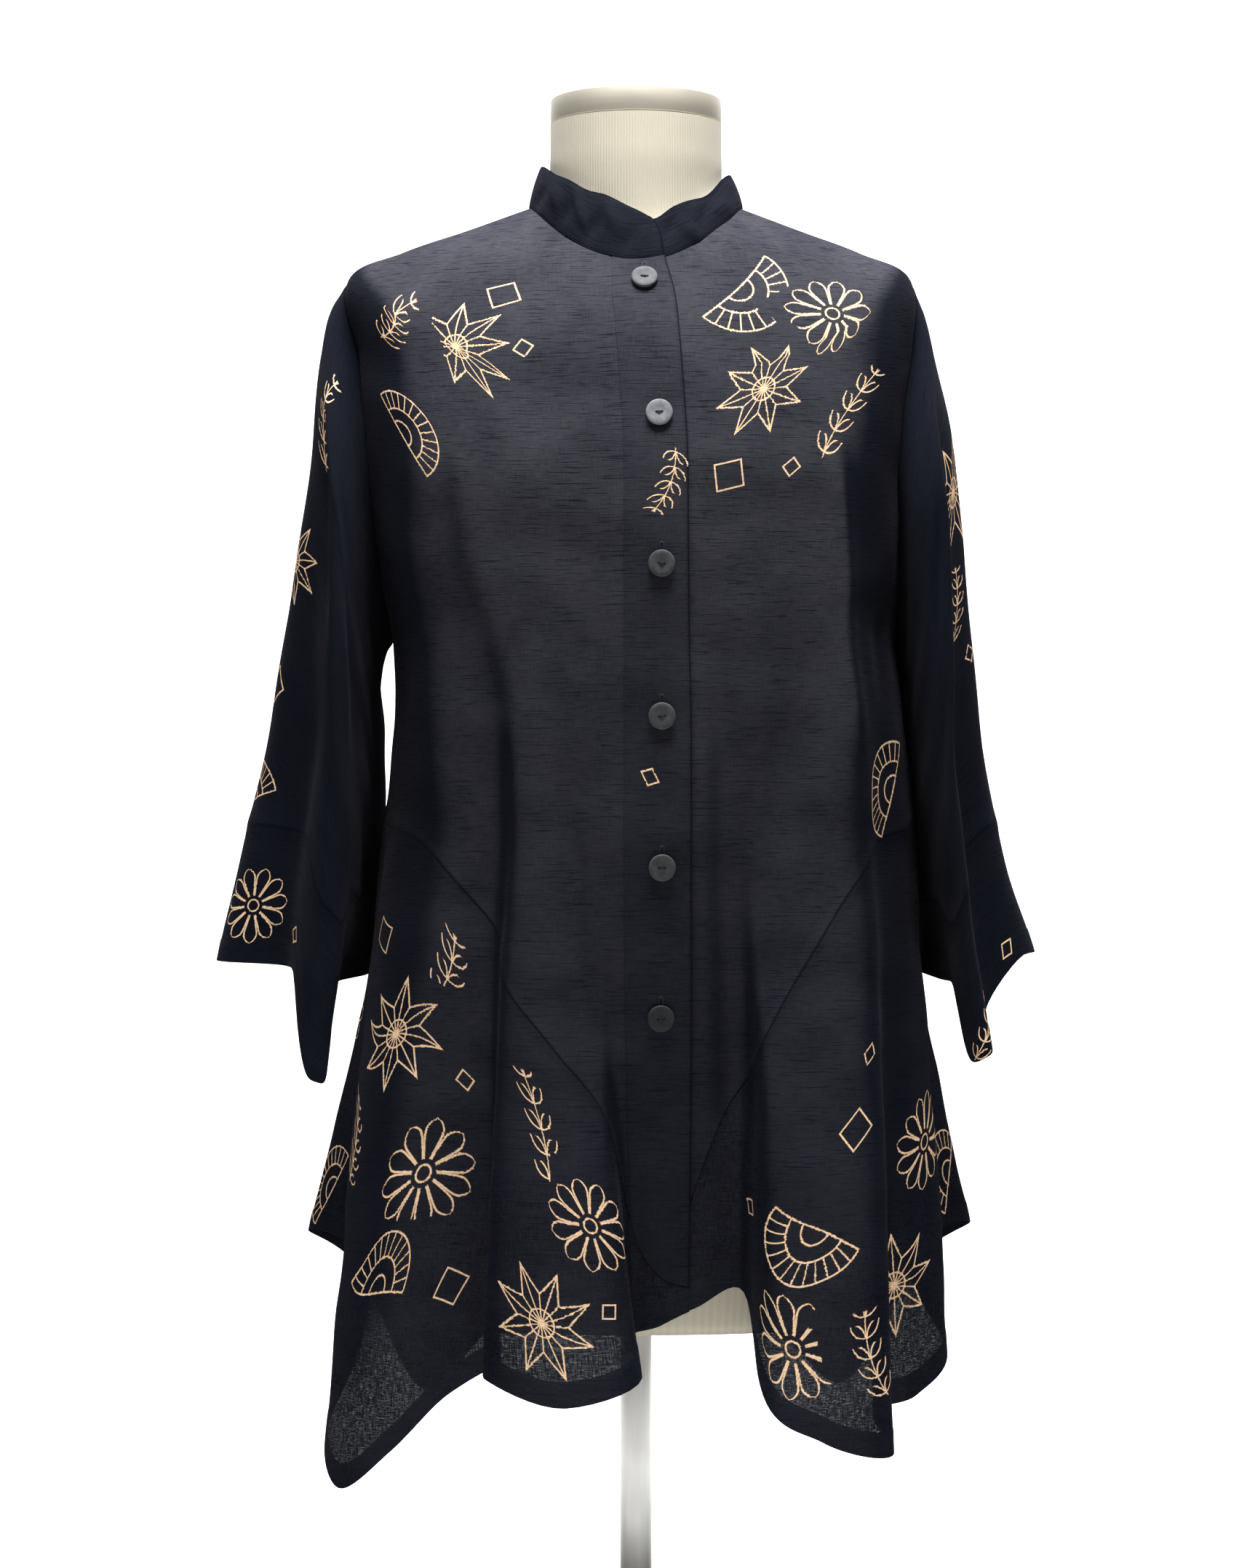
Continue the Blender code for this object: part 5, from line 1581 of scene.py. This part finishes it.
INK = (0.0016, 0.0022, 0.0044, 1.0)           # the cloth's slubs and the shade between its yarns; also the painted shadow along seams and edges
INK_PALE = (0.0056, 0.0064, 0.0092, 1.0)      # its yarns
INK_BACKED_AND_LIT = (0.0345, 0.0345, 0.0410, 1.0)    # its yarns where all of the form shows through, with painted light on the chest
GOLD = (0.52, 0.37, 0.245, 1.0)
GOLD_WORN = (0.38, 0.26, 0.155, 1.0)
GOLD_EDGE = (0.22, 0.11, 0.035, 1.0)
SHEER = 0.15              # share of light that passes one skin of the sheer cloth
SHEER_REACH = (0.04, 0.17)    # how far above the hem the cloth lies single, and where that ends
SHEER_DOUBLE = 0.22       # part of it left at the turned-up hem
SHEER_PRINT = 0.03        # and under the print
SEAM_SHADE = (0.0006, 0.0018)     # painted shadow along a seam or a folded edge
HEM_SOFT = 0.0005         # over which the turned-up part ends
HEM_STITCH = HEM_WIDTH - 0.0012
SEAM_STITCH = 0.0022
STITCH_WIDTH = 0.00035
STITCHES = 380.0          # a metre
YARN_LIGHT = 0.95         # how much each part of the weave lightens or darkens the cloth
PATCH_LIGHT = 0.16
SLUB_DARK = 0.38
SHEEN = (0.90, 0.86, 1.0, 1.0)
THREAD_DARK = (0.003, 0.003, 0.005, 1)
THREAD_PALE = (0.012, 0.012, 0.018, 1)
FORM_PALE = (0.375, 0.345, 0.272, 1.0)
FORM_DEEP = (0.32, 0.29, 0.222, 1.0)
RIB_PITCH = 0.0021
BUTTON_CLOUD = 1.35       # how much paler a button's clouds are


def cloth_material(name, sheer):
    """Slub weave, see-through between its yarns where it lies single."""
    net = Net(name)
    flat = net.uv("cloth")
    slub = net.grain(flat, SLUB).ramp(0.55, 0.68)
    thin = net.grain(flat, THIN_SLUB).ramp(0.48, 0.70)
    patch = net.grain(flat, PATCH).ramp(0.35, 0.65)
    yarn = (net.grain(flat, WEFT) + net.grain(flat, WARP)) * 0.5
    streak = (slub * 0.8).most(thin * 0.5)
    light = yarn * YARN_LIGHT + patch * PATCH_LIGHT - streak * SLUB_DARK
    # Painted light: the cloth is painted paler on the chest and where it faces ahead or up, along
    # with the form showing through it
    colour = net.mix(light, INK, net.mix(net.mark("backed_and_lit"), INK_PALE, INK_BACKED_AND_LIT))

    hem = net.mark("hem")
    turned_up = hem.fall(HEM_WIDTH - HEM_SOFT, HEM_WIDTH + HEM_SOFT)
    seam = net.mark("seam")
    # Painted shadow: a dark line along seams and folded edges
    colour = net.mix(seam.ramp(*SEAM_SHADE, 0.75, 0.0), colour, INK)
    mask = print_mask(net)
    worn = net.grain(flat, WEAR).ramp(0.28, 0.62)
    gold = net.mix(mask.ramp(0.45, 0.98), GOLD_EDGE, net.mix(worn, GOLD_WORN, GOLD))
    if sheer:
        veil = net.grain(flat, VEIL).ramp(0.36, 0.64, 0.25, 1.60)
        gaps = yarn.fall(0.42, 0.56, 0.12) * veil * sheer * hem.fall(*SHEER_REACH)
        gaps = gaps * turned_up.fall(0.0, 1.0, SHEER_DOUBLE) * mask.fall(0.0, 1.0, SHEER_PRINT)
        net.set(Alpha=1.0 - gaps)

    stitches = stitch_line(net, hem, HEM_STITCH).most(stitch_line(net, seam, SEAM_STITCH))
    height = yarn * 0.5 + slub * 0.8 + stitches * -2.0
    return net.set(Base_Color=net.mix(mask, colour, gold), Roughness=0.80, Specular_IOR_Level=0.0,
                   Sheen_Weight=0.01, Sheen_Roughness=0.5, Sheen_Tint=SHEEN,
                   Normal=net.bump(height, 0.00022, 0.8))


def stitch_line(net, distance, at):
    """Row of stitches at a distance from an edge."""
    across, up = net.parts(net.uv("cloth"))
    run = ((across + up) * STITCHES).math("FRACT")
    return band(distance - at, STITCH_WIDTH) * abs(run - 0.5).ramp(0.10, 0.22)


def paler(colour, share):
    return tuple(min(1.0, part * share) for part in colour[:3]) + (1.0,)


def button_material(name, colour):
    net = Net(name)
    cloud = net.noise(net.own_place(), scale=260, detail=4.0).ramp(0.35, 0.68)
    grain = net.noise(net.own_place(), scale=1800)
    return net.set(Base_Color=net.mix(cloud, colour, paler(colour, BUTTON_CLOUD)),
                   Roughness=0.60, Specular_IOR_Level=0.08, Normal=net.bump(grain, 0.00004, 0.5))


def thread_material():
    net = Net("sewing_thread")
    twist = net.noise(net.own_place(), scale=2600, detail=1.0)
    return net.set(Base_Color=net.mix(twist, THREAD_DARK, THREAD_PALE), Roughness=0.7,
                   Specular_IOR_Level=0.1, Normal=net.bump(twist, 0.0001, 0.8))


def form_material():
    """Cream cover with fine upright ribs and a soft unevenness."""
    net = Net("form_cover")
    flat = net.uv("cloth")
    sway = net.grain(flat, RIB_SWAY) * 0.7
    wave = net.parts(flat)[0] * (2 * math.pi / RIB_PITCH) + sway
    rib = wave.math("SINE") * 0.5 + 0.5
    knot = net.grain(flat, KNOTS)
    stain = net.noise(flat, scale=28, detail=3.0).ramp(0.35, 0.75)
    shade = rib * 0.40 + knot * 0.3 + stain * 0.25
    return net.set(Base_Color=net.mix(shade, FORM_DEEP, FORM_PALE), Roughness=0.85,
                   Sheen_Weight=0.06, Sheen_Roughness=0.6,
                   Normal=net.bump(rib + knot * 0.7, 0.0003, 0.6))


def steel_material(name, colour, rough, metallic, scale):
    """Metal brushed along the way in which its noise is scaled least."""
    net = Net(name)
    brush = net.noise(net.scaled(net.own_place(), *scale), detail=3.0, rough=0.6)
    smear = net.noise(net.own_place(), scale=34)
    return net.set(Base_Color=net.mix(brush, paler(colour, 0.82), colour), Metallic=metallic,
                   Roughness=(brush + smear).ramp(0.5, 1.5, rough - 0.06, rough + 0.12),
                   Normal=net.bump(brush, 0.00003, 0.5))


def make_materials():
    return {
        "cloth": cloth_material("blouse_cloth", 0.0),
        "sheer": cloth_material("sheer_cloth", SHEER),
        # One button plastic, in copies painted lighter and in painted shade
        "button": button_material("button_plastic", (0.035, 0.037, 0.041, 1.0)),
        "button_pale": button_material("button_plastic_painted_lit", (0.082, 0.085, 0.092, 1.0)),
        "button_dark": button_material("button_plastic_painted_shade", (0.0245, 0.0265, 0.0270, 1.0)),
        "button_deep": button_material("button_plastic_painted_deep_shade", (0.0110, 0.0125, 0.0140, 1.0)),
        "thread": thread_material(),
        "form": form_material(),
        "cap": steel_material("cap_steel", (0.47, 0.43, 0.355, 1.0), 0.45, 0.45, (14, 14, 2600)),
        "stand": steel_material("stand_steel", (0.52, 0.51, 0.49, 1.0), 0.38, 0.75, (900, 900, 12)),
    }


# Camera: level, 2.45 m before the form's axis, with the photograph's frame
CAMERA_X = -0.0059
CAMERA_AWAY = 2.45
CAMERA_Z = 0.60
PIXEL = 0.00051           # metres a pixel of the 2156-pixel frame spans at the axis
FRAME_HEIGHT = 2156
SENSOR = 36.0


def camera():
    data = bpy.data.cameras.new("camera")
    data.sensor_fit = "VERTICAL"
    data.sensor_height = SENSOR
    data.lens = SENSOR * CAMERA_AWAY / (PIXEL * FRAME_HEIGHT)
    data.clip_end = 50.0
    eye = add_object("camera", data)
    eye.location = (CAMERA_X, -CAMERA_AWAY, CAMERA_Z)
    eye.rotation_euler = (math.radians(90), 0, 0)
    bpy.context.scene.camera = eye


FLOOR_FRONT = -5.0
FLOOR_BACK = 2.2
FLOOR_HALF = 6.0
SWEEP_RADIUS = 1.2
SWEEP_TOP = 5.0


def floor():
    """Pale floor that curves up into a plain backdrop."""
    bend = [(FLOOR_BACK + SWEEP_RADIUS * math.sin(a), SWEEP_RADIUS * (1 - math.cos(a)))
            for a in np.linspace(0, math.pi / 2, 25)]
    line = [(FLOOR_FRONT, 0.0)] + bend + [(FLOOR_BACK + SWEEP_RADIUS, SWEEP_TOP)]
    points = [(x, y, z) for y, z in line for x in (-FLOOR_HALF, FLOOR_HALF)]
    faces = [(2 * k, 2 * k + 1, 2 * k + 3, 2 * k + 2) for k in range(len(line) - 1)]
    data = bpy.data.meshes.new("floor")
    data.from_pydata(points, [], faces)
    data.shade_smooth()
    pale = Net("pale_floor").set(Base_Color=(0.66, 0.66, 0.66, 1.0), Roughness=0.9,
                                 Specular_IOR_Level=0.1)
    data.materials.append(pale)
    add_object("floor", data)


Lamp = namedtuple("Lamp", "name place aim wide tall watts")
LAMPS = (
    Lamp("top", (0.05, -0.42, 2.75), (0, -0.1, 0.80), 1.0, 0.6, 262),
    Lamp("front", (1.3, -2.5, 2.3), (0, 0, 0.80), 1.2, 0.9, 3),
    Lamp("backdrop", (0.0, 1.2, 3.8), (0, 3.3, 1.0), 4.0, 1.0, 400),
)
WORLD_LIGHT = 0.03
WORLD_COLOUR = (0.72, 0.86, 1.0, 1.0)


def lights():
    for lamp in LAMPS:
        data = bpy.data.lights.new(lamp.name, "AREA")
        data.shape = "RECTANGLE"
        data.size = lamp.wide
        data.size_y = lamp.tall
        data.energy = lamp.watts
        piece = add_object(lamp.name, data)
        piece.location = lamp.place
        aim = Vector(lamp.aim) - Vector(lamp.place)
        piece.rotation_euler = aim.to_track_quat("-Z", "Y").to_euler()
    world = bpy.data.worlds.new("studio")
    world.use_nodes = True
    back = world.node_tree.nodes["Background"]
    back.inputs["Color"].default_value = WORLD_COLOUR
    back.inputs["Strength"].default_value = WORLD_LIGHT
    bpy.context.scene.world = world
    bpy.context.scene.view_settings.view_transform = "Standard"


MATERIALS = make_materials()
camera()
right_front()
left_front()
back()
sleeves()
collar()
buttons()
form()
cap()
stand()
floor()
lights()
